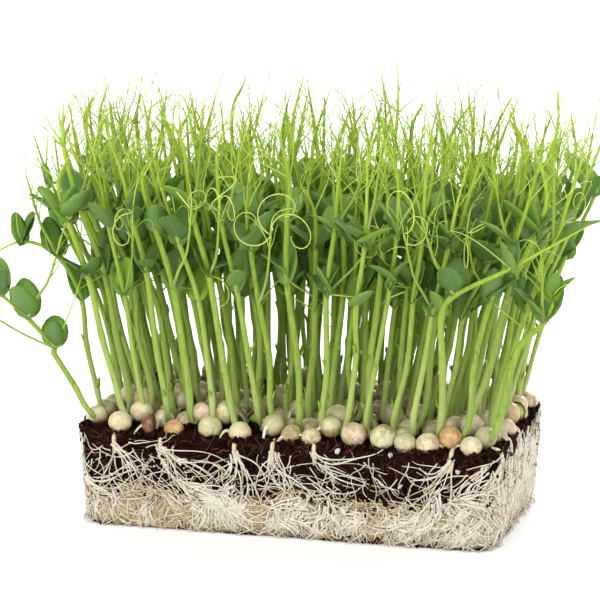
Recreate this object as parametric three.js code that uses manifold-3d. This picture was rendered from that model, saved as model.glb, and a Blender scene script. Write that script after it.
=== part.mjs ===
// A block of young pea shoots, lifted out of its growing tray: a slab of dark soil with rounded
// corners, wrapped below in a felted mat of white roots, paved above with half-sunk germinated
// peas, and carrying a dense stand of leafy stems that end in branched tendrils.
// Units are millimetres, +Z is up, and the origin is the middle of the flat underside.
// -Y is the front, and X runs along the block's long side.
import * as THREE from "three";
import { mergeVertices } from "three/addons/utils/BufferGeometryUtils.js";
import Module from "manifold-3d";

const wasm = await Module();
wasm.setup();

// The block
const BLOCK_LENGTH = 172; // along X, at the top of the soil
const BLOCK_DEPTH = 96; // along Y, at the top of the soil
const BED_TOP = 39.5; // height of the surface that the shoots come out of
const TAPER = 3; // how far each side draws in from the top to the underside
const CORNER_RADIUS = 9; // of the upright corners
const CORNER_STEPS = 3;
const LONG_STEPS = 7; // stretches that a long side is drawn in
const SHORT_STEPS = 3;
const GAP = 0.3; // clearance between touching pieces

const MAT_HEIGHT = 18; // how far the root mat climbs the sides, on average
const MAT_WAVE = 2.4; // how far its edge wanders above and below that
const MAT_WALL = 4;
const MAT_PROUD = 1; // the mat's thickness outside the soil's face
const MAT_FOOT = 2; // height of the slope at the foot of its sides
const MAT_EDGE_GAP = 0.6; // clearance above its wandering edge
const BED_THICKNESS = 3.6; // of the felt of husks and rootlets that the peas sit in
const BED_INSET = 1.5;

// Roots that climb the soil's face above the mat, drawn thicker than life
const ROOT_COUNT = 40;
const ROOT_RADIUS = 0.85;
const ROOT_OFFSET = 1.7; // from the soil's face to a root's axis
const ROOT_SINK = 4;

// The peas, one at each corner of the grid that the shoots stand in
const PEA_RADIUS = 4.7;
const PEA_SMALLEST = 3.3;
const PEA_SIDES = 5;
const PEA_OVERHANG = 0.5; // how far the outermost peas may pass the block's edge
const PEA_CLEAR = 2.4; // from a pea's side to the axis of the nearest stem

// The shoots stand on a jittered grid, and each block of two by two of them is one tuft
const SHOOT_COLUMNS = 18;
const SHOOT_ROWS = 8;
const STAND_LENGTH = 164;
const STAND_DEPTH = 86;
const JITTER = 1.5;
const SPREAD_X = 0.42; // the stand widens by these shares as it rises
const SPREAD_Y = 0.45;
const SPREAD_FROM = 8; // the heights above the bed between which it widens
const SPREAD_TO = 120;
const SWAY = 3.6; // neighbouring shoots bend the same way, this far
const SWAY_HEIGHT = 110; // above the bed, where they have bent that far
const BEND_PITCH = 30; // height over which a stem's own bend turns by one radian

// A shoot's measures, each from its least to its most. Heights are above the joint below.
const LOW_JOINT = [50, 66];
const HIGH_JOINT = [20, 27];
const TOP_JOINT = [16, 28];
const TIP_RISE = [10, 22];
const STEM_BEND = [1, 2.6];
const TIP_LEAN = [2, 9]; // how far the tip stands sideways of the stem
const LOW_LEAF = [12, 16]; // lengths of the lower joint's leaf and of the upper joint's pair
const FIRST_LEAF = [15, 21];
const SECOND_LEAF = [14, 19];
const LEAF_RISE = [0.55, 0.85]; // in radians above level
const STALK_LENGTH = [28, 42];
const STALK_LEANS = [0.5, 0.3]; // in radians from upright, below and above its bend
const NEEDLE_LENGTH = [15, 25];
const NEEDLE_LEAN = [0.5, 0.95];

const STEM_RADII = [1.55, 1.4, 1.15, 0.8]; // at the foot, the two leaf joints and the top
const SOCKET_DEPTH = 2.4;
const SOCKET_EASE = 0.7; // a three-sided socket this much wider leaves GAP at its flats
const JOINT_REACH = 2.6; // height of the patch of stem that a leaf or tendril grows from
const LEAF_WIDTH = 0.6; // of its length
const LEAF_THICK = 1.4; // at the midrib
const STALK_RADIUS = 0.75; // of a leaf stalk, half way along

const SEED = 89;
const TURN = 2 * Math.PI;

// A repeatable stream of numbers from 0 to 1
function randomStream(seed) {
  let state = seed * 7919 + 13;
  const next = () => {
    state = (state * 48271) % 2147483647;
    return state / 2147483647;
  };
  for (let warm = 0; warm < 3; warm++) next();
  return next;
}

const lerp = (a, b, t) => a + (b - a) * t;
const within = ([least, most], t) => lerp(least, most, t);
const smooth = (t) => {
  const s = Math.min(1, Math.max(0, t));
  return s * s * (3 - 2 * s);
};

// Solids from points and triangles

function indexedGeometry(points, faces) {
  return new THREE.BufferGeometry()
    .setAttribute("position", new THREE.Float32BufferAttribute(points.flatMap((p) => p.toArray()), 3))
    .setIndex(faces.flat());
}

function solidFrom(geometry) {
  geometry.deleteAttribute("normal");
  geometry.deleteAttribute("uv");
  const merged = mergeVertices(geometry, 1e-4);
  const vertProperties = new Float32Array(merged.attributes.position.array);
  const triVerts = new Uint32Array(merged.index.array);
  return new wasm.Manifold(new wasm.Mesh({ numProp: 3, vertProperties, triVerts }));
}

function geometryFrom(solid) {
  const mesh = solid.getMesh();
  return new THREE.BufferGeometry()
    .setAttribute("position", new THREE.BufferAttribute(mesh.vertProperties, 3))
    .setIndex(new THREE.BufferAttribute(mesh.triVerts, 1));
}

// Three points round a centre, across a direction, counter-clockwise seen against that direction
function ringPoints(centre, along, radius, start) {
  const side = new THREE.Vector3(1, 0, 0).addScaledVector(along, -along.x).normalize();
  const across = along.clone().cross(side);
  return [0, 1, 2].map((n) => {
    const angle = start + (n * TURN) / 3;
    return centre
      .clone()
      .addScaledVector(side, radius * Math.cos(angle))
      .addScaledVector(across, radius * Math.sin(angle));
  });
}

function directionAt(points, i) {
  const before = points[Math.max(0, i - 1)];
  const after = points[Math.min(points.length - 1, i + 1)];
  return after.clone().sub(before).normalize();
}

// A closed three-sided tube through the points
function threeSidedTube(points, radii, start) {
  const vertices = points.flatMap((p, i) => ringPoints(p, directionAt(points, i), radii[i], start));
  const top = vertices.length - 3;
  const faces = [
    [0, 2, 1],
    [top, top + 1, top + 2],
  ];
  for (let low = 0; low < top; low += 3) {
    for (let n = 0; n < 3; n++) {
      const m = (n + 1) % 3;
      faces.push([low + n, low + m, low + 3 + m], [low + n, low + 3 + m, low + 3 + n]);
    }
  }
  return solidFrom(indexedGeometry(vertices, faces));
}

// The block's outline: a rounded rectangle, drawn in towards the underside and grown outwards

function halfSizes(z, out) {
  const inset = (TAPER * (BED_TOP - z)) / BED_TOP;
  return [BLOCK_LENGTH / 2 - inset + out, BLOCK_DEPTH / 2 - inset + out];
}

function outline(z, out) {
  const [halfX, halfY] = halfSizes(z, out);
  const radius = CORNER_RADIUS + out;
  const corners = [
    [1, 1],
    [-1, 1],
    [-1, -1],
    [1, -1],
  ].map(([signX, signY], corner) => {
    const centre = new THREE.Vector2(signX * (halfX - radius), signY * (halfY - radius));
    const onArc = (n) => ((corner + n / CORNER_STEPS) / 4) * TURN;
    return Array.from({ length: CORNER_STEPS + 1 }, (_, n) => [
      centre.x + radius * Math.cos(onArc(n)),
      centre.y + radius * Math.sin(onArc(n)),
    ]);
  });
  const points = [];
  corners.forEach((arc, corner) => {
    points.push(...arc);
    const from = arc[CORNER_STEPS];
    const to = corners[(corner + 1) % 4][0];
    const steps = corner % 2 ? SHORT_STEPS : LONG_STEPS;
    for (let n = 1; n < steps; n++) points.push([0, 1].map((i) => lerp(from[i], to[i], n / steps)));
  });
  return points.map(([x, y]) => new THREE.Vector3(x, y, z));
}

const edgeWave = (n) => MAT_WAVE * (0.6 * Math.sin(1.9 * n) + 0.4 * Math.sin(0.83 * n + 1));

// A closed solid through outlines at [height, growth], some of which follow the mat's wandering edge
function stackedSolid(levels) {
  const rings = levels.map(([z, out, wavy]) => {
    const ring = outline(z, out);
    if (wavy) ring.forEach((p, n) => p.setZ(z + edgeWave(n)));
    return ring;
  });
  const count = rings[0].length;
  const faces = [];
  for (let low = 0; low < count * (rings.length - 1); low += count) {
    for (let n = 0; n < count; n++) {
      const m = (n + 1) % count;
      faces.push([low + n, low + m, low + count + m], [low + n, low + count + m, low + count + n]);
    }
  }
  const top = count * (rings.length - 1);
  for (let n = 1; n + 1 < count; n++) faces.push([0, n + 1, n], [top, top + n, top + n + 1]);
  return solidFrom(indexedGeometry(rings.flat(), faces));
}

// A point beside the block's face, at a share of the way round it
function besideFace(share, z, out) {
  const ring = outline(z, out);
  const lengths = ring.map((p, i) => p.distanceTo(ring[(i + 1) % ring.length]));
  let rest = (((share % 1) + 1) % 1) * lengths.reduce((a, b) => a + b);
  let i = 0;
  while (rest > lengths[i]) {
    rest -= lengths[i];
    i += 1;
  }
  return ring[i].clone().lerp(ring[(i + 1) % ring.length], rest / lengths[i]);
}

// Soil, root mat and peas

function soilBlock() {
  const inside = MAT_PROUD - MAT_WALL - GAP;
  return stackedSolid([
    [MAT_WALL + GAP, inside],
    [MAT_HEIGHT + MAT_EDGE_GAP, inside, true],
    [MAT_HEIGHT + MAT_EDGE_GAP, 0, true],
    [BED_TOP - BED_THICKNESS - GAP, 0],
  ]);
}

function rootMat() {
  const cup = stackedSolid([
    [0, MAT_PROUD - MAT_FOOT],
    [MAT_FOOT, MAT_PROUD],
    [MAT_HEIGHT, MAT_PROUD, true],
    [MAT_HEIGHT, MAT_PROUD - MAT_WALL, true],
    [MAT_WALL, MAT_PROUD - MAT_WALL],
  ]);
  const roots = Array.from({ length: ROOT_COUNT }, (_, n) => climbingRoot(n));
  return roots.reduce((mat, root) => mat.add(root), cup);
}

function climbingRoot(n) {
  const draw = randomStream(ROOT_COUNT * SEED + n);
  const share = (n + 0.8 * draw()) / ROOT_COUNT;
  const top = lerp(MAT_HEIGHT + 5, BED_TOP - BED_THICKNESS - 0.5, draw());
  const slant = lerp(-0.012, 0.012, draw());
  const points = [
    besideFace(share, MAT_HEIGHT - MAT_WAVE - ROOT_SINK, 0),
    besideFace(share, MAT_HEIGHT - MAT_WAVE - 0.6, ROOT_OFFSET),
    besideFace(share + slant, top, ROOT_OFFSET),
  ];
  return threeSidedTube(points, [ROOT_RADIUS, ROOT_RADIUS, 0.6 * ROOT_RADIUS], TURN * draw());
}

function peaBed(feet) {
  let bed = stackedSolid([
    [BED_TOP - BED_THICKNESS, -BED_INSET],
    [BED_TOP, -BED_INSET],
  ]);
  const draw = randomStream(SEED + 1);
  const reachX = BLOCK_LENGTH / 2 + PEA_OVERHANG - PEA_RADIUS;
  const reachY = BLOCK_DEPTH / 2 + PEA_OVERHANG - PEA_RADIUS;
  for (let row = 0; row <= SHOOT_ROWS; row++) {
    for (let column = 0; column <= SHOOT_COLUMNS; column++) {
      const size = PEA_RADIUS * lerp(0.88, 1, draw());
      const turn = draw() * TURN;
      const x = (2 * (column / SHOOT_COLUMNS) - 1) * reachX;
      const y = (2 * (row / SHOOT_ROWS) - 1) * reachY;
      const outer = row % SHOOT_ROWS === 0 || column % SHOOT_COLUMNS === 0;
      const corner = row % SHOOT_ROWS === 0 && column % SHOOT_COLUMNS === 0;
      const nearest = Math.min(...feet.map((p) => Math.hypot(p.x - x, p.y - y)));
      const radius = Math.min(size, nearest - PEA_CLEAR);
      if (corner || (!outer && (row + column) % 2) || radius < PEA_SMALLEST) continue;
      bed = bed.add(peaDome(radius, turn, x, y));
    }
  }
  return bed;
}

function peaDome(radius, turn, x, y) {
  const profile = [
    [0, -1],
    [radius, -1],
    [0.84 * radius, 0.62 * radius],
    [0, 1.05 * radius],
  ].map(([out, up]) => new THREE.Vector2(out, up));
  const dome = new THREE.LatheGeometry(profile, PEA_SIDES);
  dome.rotateX(Math.PI / 2).rotateZ(turn).translate(x, y, BED_TOP);
  return solidFrom(dome);
}

// The shoots. Heights in a plan are measured up from the bed.

function shootPlan(column, row) {
  const draw = randomStream(SEED * 100 + row * SHOOT_COLUMNS + column);
  const lowJoint = within(LOW_JOINT, draw());
  const highJoint = lowJoint + within(HIGH_JOINT, draw());
  const top = highJoint + within(TOP_JOINT, draw());
  return {
    x: ((column + 0.5) / SHOOT_COLUMNS - 0.5) * STAND_LENGTH + JITTER * (2 * draw() - 1),
    y: ((row + 0.5) / SHOOT_ROWS - 0.5) * STAND_DEPTH + JITTER * (2 * draw() - 1),
    heights: [-SOCKET_DEPTH + GAP, lowJoint, highJoint, top, top + within(TIP_RISE, draw())],
    bend: within(STEM_BEND, draw()),
    bendPhase: TURN * draw(),
    tipLean: within(TIP_LEAN, draw()),
    tipTurn: TURN * draw(),
    leafTurns: [draw(), draw(), draw()].map((d) => d - 0.5),
    leafLengths: [LOW_LEAF, FIRST_LEAF, SECOND_LEAF].map((range) => within(range, draw())),
    leafRises: [draw(), draw(), draw()].map((d) => within(LEAF_RISE, d)),
    firstLeafFace: Math.floor(3 * draw()),
    stalkFace: Math.floor(3 * draw()),
    stalkTurn: draw() - 0.5,
    stalkLength: within(STALK_LENGTH, draw()),
    needleTurns: [draw(), draw(), draw()].map((d) => d - 0.5),
    needleLengths: [draw(), draw(), draw()].map((d) => within(NEEDLE_LENGTH, d)),
    needleLeans: [draw(), draw(), draw()].map((d) => within(NEEDLE_LEAN, d)),
  };
}

function axisPoint(plan, height, steadiness) {
  const wave = plan.bend * (Math.sin(height / BEND_PITCH + plan.bendPhase) - Math.sin(plan.bendPhase));
  const rise = smooth((height - SPREAD_FROM) / (SPREAD_TO - SPREAD_FROM));
  const sway = SWAY * smooth(height / SWAY_HEIGHT);
  const u = plan.x + steadiness * wave;
  const v = plan.y + steadiness * wave * Math.cos(3 * plan.bendPhase);
  return new THREE.Vector3(
    u * (1 + SPREAD_X * rise) + sway * Math.sin(plan.x / 21 + plan.y / 26 + 0.6),
    v * (1 + SPREAD_Y * rise) + sway * Math.sin(plan.x / 27 - plan.y / 18 + 2.1),
    BED_TOP + height,
  );
}

// Shoots at the block's edge that lean far out, by column and row: foot, low joint, high joint, top, tip
const LEANING = {
  "0 0": [[-81, -38, 0], [-97, -39, 70], [-108, -40, 82], [-120, -41, 92], [-131, -42, 98]],
  "0 1": [[-81, -27, 0], [-89, -29, 89], [-98, -31, 106], [-112, -34, 112], [-128, -37, 104]],
  "17 0": [[80, -38, 0], [95, -42, 85], [103, -44, 93], [106, -46, 103], [100, -50, 116]],
  "15 0": [[60, -38, 0], [63, -46, 93], [69, -51, 103], [92, -57, 116], [123, -60, 135]],
};

function stemRoute(plan, column, row, steadiness) {
  const leaning = LEANING[`${column} ${row}`];
  if (leaning) {
    const [foot, ...rest] = leaning.map((p) => new THREE.Vector3(...p));
    return [foot.setZ(BED_TOP + plan.heights[0]), ...rest];
  }
  const route = plan.heights.map((height) => axisPoint(plan, height, steadiness));
  route[4].x += steadiness * plan.tipLean * Math.cos(plan.tipTurn);
  route[4].y += steadiness * plan.tipLean * Math.sin(plan.tipTurn);
  return route;
}

// Balls stand for what is already placed, so that a new leaf or tendril can be turned clear of it
const balls = [];
const BALL_STEP = 2.5; // the most that they stand apart along a stem or tendril
const BALL_EASE = 0.25; // how much wider they are than it
const BALL_SMALLEST = 0.9; // so that no thin tip slips between two balls
const NEAR = 5; // as far from its root as a leaf or tendril may touch its own shoot's others
const OWN_STEM_SHARE = 0.85; // a leaf may come this much closer to the stem that it grows from

// What grows from one joint meets there, so a shoot's own pieces are only tested further out
function isClear(candidate, shoot) {
  return candidate.every((one) =>
    balls.every((other) => {
      const isOwn = other.shoot === shoot;
      if (isOwn && (other.isNear || one.isNear)) return true;
      const reach = (isOwn && other.isStem ? OWN_STEM_SHARE : 1) * (one.radius + other.radius) + GAP;
      const dx = one.x - other.x;
      const dy = one.y - other.y;
      const dz = one.z - other.z;
      return dx * dx + dy * dy + dz * dz >= reach * reach;
    }),
  );
}

function keep(pieces, shoot, isStem) {
  pieces.forEach((one) => balls.push({ ...one, shoot, isStem, isNear: one.isNear && !isStem }));
}

function ballsAlong(points, radii) {
  const made = [];
  let travelled = 0;
  for (let i = 0; i + 1 < points.length; i++) {
    const length = points[i].distanceTo(points[i + 1]);
    const steps = Math.ceil(length / BALL_STEP);
    for (let n = 0; n < steps; n++) {
      const at = points[i].clone().lerp(points[i + 1], (n + 0.5) / steps);
      const far = travelled + ((n + 0.5) / steps) * length;
      made.push({
        x: at.x,
        y: at.y,
        z: at.z,
        radius: Math.max(BALL_SMALLEST, lerp(radii[i], radii[i + 1], (n + 0.5) / steps) + BALL_EASE),
        isNear: far < NEAR,
      });
    }
    travelled += length;
  }
  return made;
}

// A leaf's outline, as shares of its length and of its half width
const LEAF_SHOULDER = [0.36, 0.88];
const LEAF_WAIST = [0.7, 0.8];
const LEAF_BALLS = [
  [0.12, 0, 1.5],
  [0.3, 0, 1.9],
  [0.3, 0.55, 1.7],
  [0.3, -0.55, 1.7],
  [0.34, 0.9, 1.2],
  [0.34, -0.9, 1.2],
  [0.5, 0, 1.9],
  [0.52, 0.5, 1.8],
  [0.52, -0.5, 1.8],
  [0.66, 0.7, 1.2],
  [0.66, -0.7, 1.2],
  [0.72, 0, 1.9],
  [0.94, 0, 1.3],
];

function leafPlacer(root, azimuth, rise, length) {
  const flat = new THREE.Vector3(Math.cos(azimuth), Math.sin(azimuth), 0);
  const across = new THREE.Vector3(-Math.sin(azimuth), Math.cos(azimuth), 0);
  const along = flat.multiplyScalar(Math.cos(rise)).setZ(Math.sin(rise));
  const up = along.clone().cross(across);
  return (share, side, lift) =>
    root
      .clone()
      .addScaledVector(along, share * length)
      .addScaledVector(across, (side * length * LEAF_WIDTH) / 2)
      .addScaledVector(up, lift);
}

function leafBalls(place, length) {
  return LEAF_BALLS.map(([share, side, radius]) => {
    const at = place(share, side, 0);
    return { x: at.x, y: at.y, z: at.z, radius, isNear: share * length < NEAR };
  });
}

// Placing the shoots and what grows from them. A growth is a leaf, a leaf stalk or a tendril: it
// starts at one of the three faces of a stem, above one of its joints, or on a stalk above its bend.

const faceAzimuth = (start, face) => start + ((face + 0.5) * TURN) / 3;

// The four shoots of a tuft are held in a chain: each entry names its place in the tuft and the
// way its first face looks, in degrees, so that one face looks along each hold
const CHAIN = [
  { column: 0, row: 0, facing: 0 },
  { column: 1, row: 0, facing: 75 },
  { column: 1, row: 1, facing: 165 },
  { column: 0, row: 1, facing: 0 },
];

function placeShoot(column, row, facing) {
  const plan = shootPlan(column, row);
  const name = row * SHOOT_COLUMNS + column;
  const routes = [1, 0.6, 0.3, 0].map((steadiness) => stemRoute(plan, column, row, steadiness));
  const radii = [...STEM_RADII, 0];
  const route = routes.find((one) => isClear(ballsAlong(one, radii), name));
  if (!route) throw new Error(`the stem at column ${column}, row ${row} meets another`);
  keep(ballsAlong(route, radii), name, true);
  return { name, plan, route, start: (facing / 360 - 1 / 6) * TURN, heldFaces: [] };
}

const turnBetween = (a, b) => Math.abs(Math.atan2(Math.sin(a - b), Math.cos(a - b)));

// A hold is a tendril from stem to stem at the lower leaf joints
function placeHold(one, other) {
  const way = other.route[1].clone().sub(one.route[1]);
  const azimuth = Math.atan2(way.y, way.x);
  keep(ballsAlong([one.route[1], other.route[1]], [1, 1]), one.name, false);
  return [
    [one, azimuth],
    [other, azimuth + Math.PI],
  ].map(([shoot, wanted]) => {
    const off = (face) => turnBetween(faceAzimuth(shoot.start, face), wanted);
    const free = [0, 1, 2].filter((face) => !shoot.heldFaces.includes(face));
    const face = free.reduce((a, b) => (off(b) < off(a) ? b : a));
    shoot.heldFaces.push(face);
    return { shoot, face };
  });
}

// Tries a growth at each turn, then at each smaller size, until it is clear
const TURNS = [0, 0.2, -0.2, 0.4, -0.4];
const SIZES = [1, 0.8, 0.62];

function firstClear(shoot, make) {
  for (const size of SIZES) {
    for (const turn of TURNS) {
      const made = make(turn, size);
      if (isClear(made.balls, shoot.name)) {
        keep(made.balls, shoot.name, false);
        return made;
      }
    }
  }
  return null;
}

// The two leaves of an upper joint stand opposite each other, nearly square to its leaf stalk
const LEAF_PAIR = [0, -TURN / 18, TURN / 18];

function placeLeaf(shoot, joint, face, n) {
  const { plan } = shoot;
  const root = shoot.route[joint].clone();
  root.z += JOINT_REACH / 2;
  return firstClear(shoot, (turn, size) => {
    const azimuth = faceAzimuth(shoot.start, face) + LEAF_PAIR[n] + 0.4 * plan.leafTurns[n] + turn;
    const length = size * plan.leafLengths[n];
    const place = leafPlacer(root, azimuth, plan.leafRises[n], length);
    return { kind: "leaf", shoot, joint, face, place, balls: leafBalls(place, length) };
  });
}

function towards(root, azimuth, lean, length) {
  const reach = Math.sin(lean) * length;
  return new THREE.Vector3(
    root.x + reach * Math.cos(azimuth),
    root.y + reach * Math.sin(azimuth),
    root.z + Math.cos(lean) * length,
  );
}

function placeStalk(shoot) {
  const { plan } = shoot;
  const face = plan.stalkFace;
  const root = shoot.route[2];
  return firstClear(shoot, (turn, size) => {
    const azimuth = faceAzimuth(shoot.start, face) + 0.8 * plan.stalkTurn + turn;
    const half = 0.5 * size * plan.stalkLength;
    const bend = towards(root, azimuth, STALK_LEANS[0], half);
    const tip = towards(bend, azimuth, STALK_LEANS[1], half);
    const madeBalls = ballsAlong([root, bend, tip], [1, STALK_RADIUS, 0.3]);
    return { kind: "stalk", shoot, joint: 2, face, bend, tip, azimuth, balls: madeBalls };
  });
}

function placeNeedle(shoot, face, n, stalk) {
  const { plan } = shoot;
  const root = stalk ? stalk.bend : shoot.route[3];
  const facing = stalk ? faceAzimuth(stalk.azimuth - TURN / 6, face) : faceAzimuth(shoot.start, face);
  return firstClear(shoot, (turn, size) => {
    const azimuth = facing + 0.8 * plan.needleTurns[n] + turn;
    const tip = towards(root, azimuth, plan.needleLeans[n], size * plan.needleLengths[n]);
    return { kind: "needle", shoot, joint: 3, face, tip, stalk, balls: ballsAlong([root, tip], [0.6, 0.2]) };
  });
}

function placeStand() {
  const tufts = [];
  for (let row = 0; row < SHOOT_ROWS; row += 2) {
    for (let column = 0; column < SHOOT_COLUMNS; column += 2) {
      const name = `shoots_row${row / 2 + 1}_tuft${column / 2 + 1}`;
      const tuft = { name, shoots: [], holds: [], growths: [] };
      CHAIN.forEach((place, n) => {
        tuft.shoots.push(placeShoot(column + place.column, row + place.row, place.facing));
        if (n) tuft.holds.push(placeHold(tuft.shoots[n - 1], tuft.shoots[n]));
      });
      tufts.push(tuft);
    }
  }
  const growOnAll = (grow) => {
    for (const tuft of tufts) {
      for (const shoot of tuft.shoots) tuft.growths.push(...[grow(shoot)].flat().filter(Boolean));
    }
  };
  growOnAll((shoot) => (shoot.stalk = placeStalk(shoot)));
  growOnAll((shoot) => placeLeaf(shoot, 2, (shoot.plan.stalkFace + 1) % 3, 1));
  growOnAll((shoot) => placeLeaf(shoot, 2, (shoot.plan.stalkFace + 2) % 3, 2));
  growOnAll((shoot) => placeLeaf(shoot, 1, shoot.plan.firstLeafFace, 0));
  growOnAll((shoot) => [
    placeNeedle(shoot, shoot.plan.firstLeafFace, 0),
    placeNeedle(shoot, (shoot.plan.firstLeafFace + 1) % 3, 1),
    shoot.stalk && placeNeedle(shoot, shoot.plan.stalkFace, 2, shoot.stalk),
  ]);
  return tufts;
}

// A tuft's surface is one closed sheet of triangles. Each stem is kept as panels, three between two
// rings, and a growth starts at a patch, which is a triangle left open at the low or high end of a
// panel, so that it joins the stem edge to edge.

function addPoint(sheet, point) {
  sheet.points.push(point);
  return sheet.points.length - 1;
}

function addFaces(sheet, growth, faces) {
  faces.forEach((face) => sheet.faces.push({ face, growth }));
}

function makePanels(rings, growth) {
  return rings.slice(1).map((high, i) =>
    [0, 1, 2].map((n) => {
      const m = (n + 1) % 3;
      return { low: [rings[i][n], rings[i][m]], high: [high[n], high[m]], growth };
    }),
  );
}

function addStem(sheet, { route, start }) {
  const rings = STEM_RADII.map((radius, i) =>
    ringPoints(route[i], directionAt(route, i), radius, start).map((p) => addPoint(sheet, p)),
  );
  const tip = addPoint(sheet, route[STEM_RADII.length]);
  addFaces(sheet, null, [[rings[0][0], rings[0][2], rings[0][1]]]);
  return makePanels([...rings, [tip, tip, tip]], null);
}

// Opens a patch, as three points counter-clockwise seen from outside
function openPatch(sheet, panel, end) {
  const [near, far] = end === "low" ? [panel.low, panel.high] : [panel.high, panel.low];
  const middle = ([a, b]) => sheet.points[a].clone().lerp(sheet.points[b], 0.5);
  const [from, to] = [middle(near), middle(far)];
  const point = addPoint(sheet, from.clone().lerp(to, JOINT_REACH / from.distanceTo(to)));
  panel[end === "low" ? "lowPatch" : "highPatch"] = point;
  return end === "low" ? [near[0], near[1], point] : [near[1], near[0], point];
}

// The rest of a panel round its patches. Where its high end is a point, c and d are the same.
function panelFaces(panel) {
  const [a, b] = panel.low;
  const [d, c] = panel.high;
  const p = panel.lowPatch;
  const q = panel.highPatch;
  const faces = [];
  if (p === undefined && q === undefined) faces.push([a, b, c], [a, c, d]);
  if (p !== undefined && q === undefined) faces.push([b, c, p], [c, d, p], [d, a, p]);
  if (p === undefined && q !== undefined) faces.push([a, b, q], [b, c, q], [d, a, q]);
  if (p !== undefined && q !== undefined) faces.push([p, b, q], [b, c, q], [p, q, d], [a, p, d]);
  return faces.filter((face) => new Set(face).size === 3);
}

function leafFaces(sheet, [a, b, p], place) {
  const point = (share, side, lift) => addPoint(sheet, place(share, side, lift));
  const right = point(...LEAF_SHOULDER, 0);
  const left = point(LEAF_SHOULDER[0], -LEAF_SHOULDER[1], 0);
  const farRight = point(...LEAF_WAIST, 0);
  const farLeft = point(LEAF_WAIST[0], -LEAF_WAIST[1], 0);
  const rib = point(0.45, 0, -LEAF_THICK);
  const tip = point(1, 0, 0);
  const rim = [a, b, right, farRight, tip, farLeft, left];
  return [
    ...rim.map((from, n) => [from, rim[(n + 1) % rim.length], rib]),
    [b, p, right],
    [p, a, left],
    [p, left, right],
    [right, left, farLeft],
    [right, farLeft, farRight],
    [farRight, farLeft, tip],
  ];
}

function needleFaces(sheet, [a, b, p], at) {
  const tip = addPoint(sheet, at);
  return [
    [a, b, tip],
    [b, p, tip],
    [p, a, tip],
  ];
}

// A tube from patch to patch, or to a ring, whose corners are given in the order that they match
function sleeveFaces(first, second) {
  return [0, 1, 2].flatMap((i) => {
    const next = (i + 1) % 3;
    return [
      [first[i], first[next], second[next]],
      [first[i], second[next], second[i]],
    ];
  });
}

function holdFaces(sheet, first, second) {
  const matched = [0, 1, 2].map((turn) => [0, 1, 2].map((i) => second[(turn - i + 3) % 3]));
  const { points } = sheet;
  const length = (order) => order.reduce((sum, id, i) => sum + points[id].distanceTo(points[first[i]]), 0);
  return sleeveFaces(first, matched.reduce((a, b) => (length(b) < length(a) ? b : a)));
}

// A leaf stalk as far as its bend; the panels of its upper part are returned
function addStalk(sheet, patch, growth) {
  const { bend, tip, azimuth } = growth;
  const along = tip.clone().sub(sheet.points[patch[0]]).normalize();
  const across = new THREE.Vector3(-Math.sin(azimuth), Math.cos(azimuth), 0);
  const outward = across.clone().cross(along);
  const ring = [-1, 1, 3].map((sixths) =>
    addPoint(
      sheet,
      bend
        .clone()
        .addScaledVector(outward, STALK_RADIUS * Math.cos((sixths * TURN) / 6))
        .addScaledVector(across, STALK_RADIUS * Math.sin((sixths * TURN) / 6)),
    ),
  );
  addFaces(sheet, growth, sleeveFaces(patch, ring));
  const end = addPoint(sheet, tip);
  return makePanels([ring, [end, end, end]], growth)[0];
}

function buildSheet(tuft) {
  const sheet = { points: [], faces: [] };
  const stems = new Map(tuft.shoots.map((shoot) => [shoot, addStem(sheet, shoot)]));
  const stalks = new Map();
  for (const ends of tuft.holds) {
    const patches = ends.map(({ shoot, face }) => openPatch(sheet, stems.get(shoot)[0][face], "high"));
    addFaces(sheet, null, holdFaces(sheet, ...patches));
  }
  for (const growth of tuft.growths) {
    const panels = growth.stalk ? stalks.get(growth.stalk) : stems.get(growth.shoot)[growth.joint];
    const patch = openPatch(sheet, panels[growth.face], "low");
    if (growth.kind === "leaf") addFaces(sheet, growth, leafFaces(sheet, patch, growth.place));
    if (growth.kind === "needle") addFaces(sheet, growth, needleFaces(sheet, patch, growth.tip));
    if (growth.kind === "stalk") stalks.set(growth, addStalk(sheet, patch, growth));
  }
  for (const panel of [...stems.values(), ...stalks.values()].flat(2)) {
    addFaces(sheet, panel.growth, panelFaces(panel));
  }
  return sheet;
}

// Leaves and tendrils whose faces cut through their own tuft are left out

function edgeCuts(from, to, [a, b, c]) {
  const edge = to.clone().sub(from);
  const ab = b.clone().sub(a);
  const ac = c.clone().sub(a);
  const slant = edge.clone().cross(ac);
  const scale = ab.dot(slant);
  if (Math.abs(scale) < 1e-12) return false;
  const offset = from.clone().sub(a);
  const u = offset.dot(slant) / scale;
  const v = edge.dot(offset.clone().cross(ab)) / scale;
  const along = ac.dot(offset.cross(ab)) / scale;
  return u > 0 && v > 0 && u + v < 1 && along > 0 && along < 1;
}

function facesCross(one, other) {
  return [0, 1, 2].some((i) => {
    const next = (i + 1) % 3;
    return edgeCuts(one[i], one[next], other) || edgeCuts(other[i], other[next], one);
  });
}

function crossingGrowths(sheet) {
  const corners = sheet.faces.map(({ face }) => face.map((id) => sheet.points[id]));
  const boxes = corners.map((points) => new THREE.Box3().setFromPoints(points));
  const crossing = new Set();
  sheet.faces.forEach((one, i) => {
    for (let j = i + 1; j < sheet.faces.length; j++) {
      const other = sheet.faces[j];
      if (one.growth === other.growth || !boxes[i].intersectsBox(boxes[j])) continue;
      if (one.face.some((id) => other.face.includes(id))) continue;
      if (facesCross(corners[i], corners[j])) crossing.add(other.growth ?? one.growth);
    }
  });
  return crossing;
}

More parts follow.
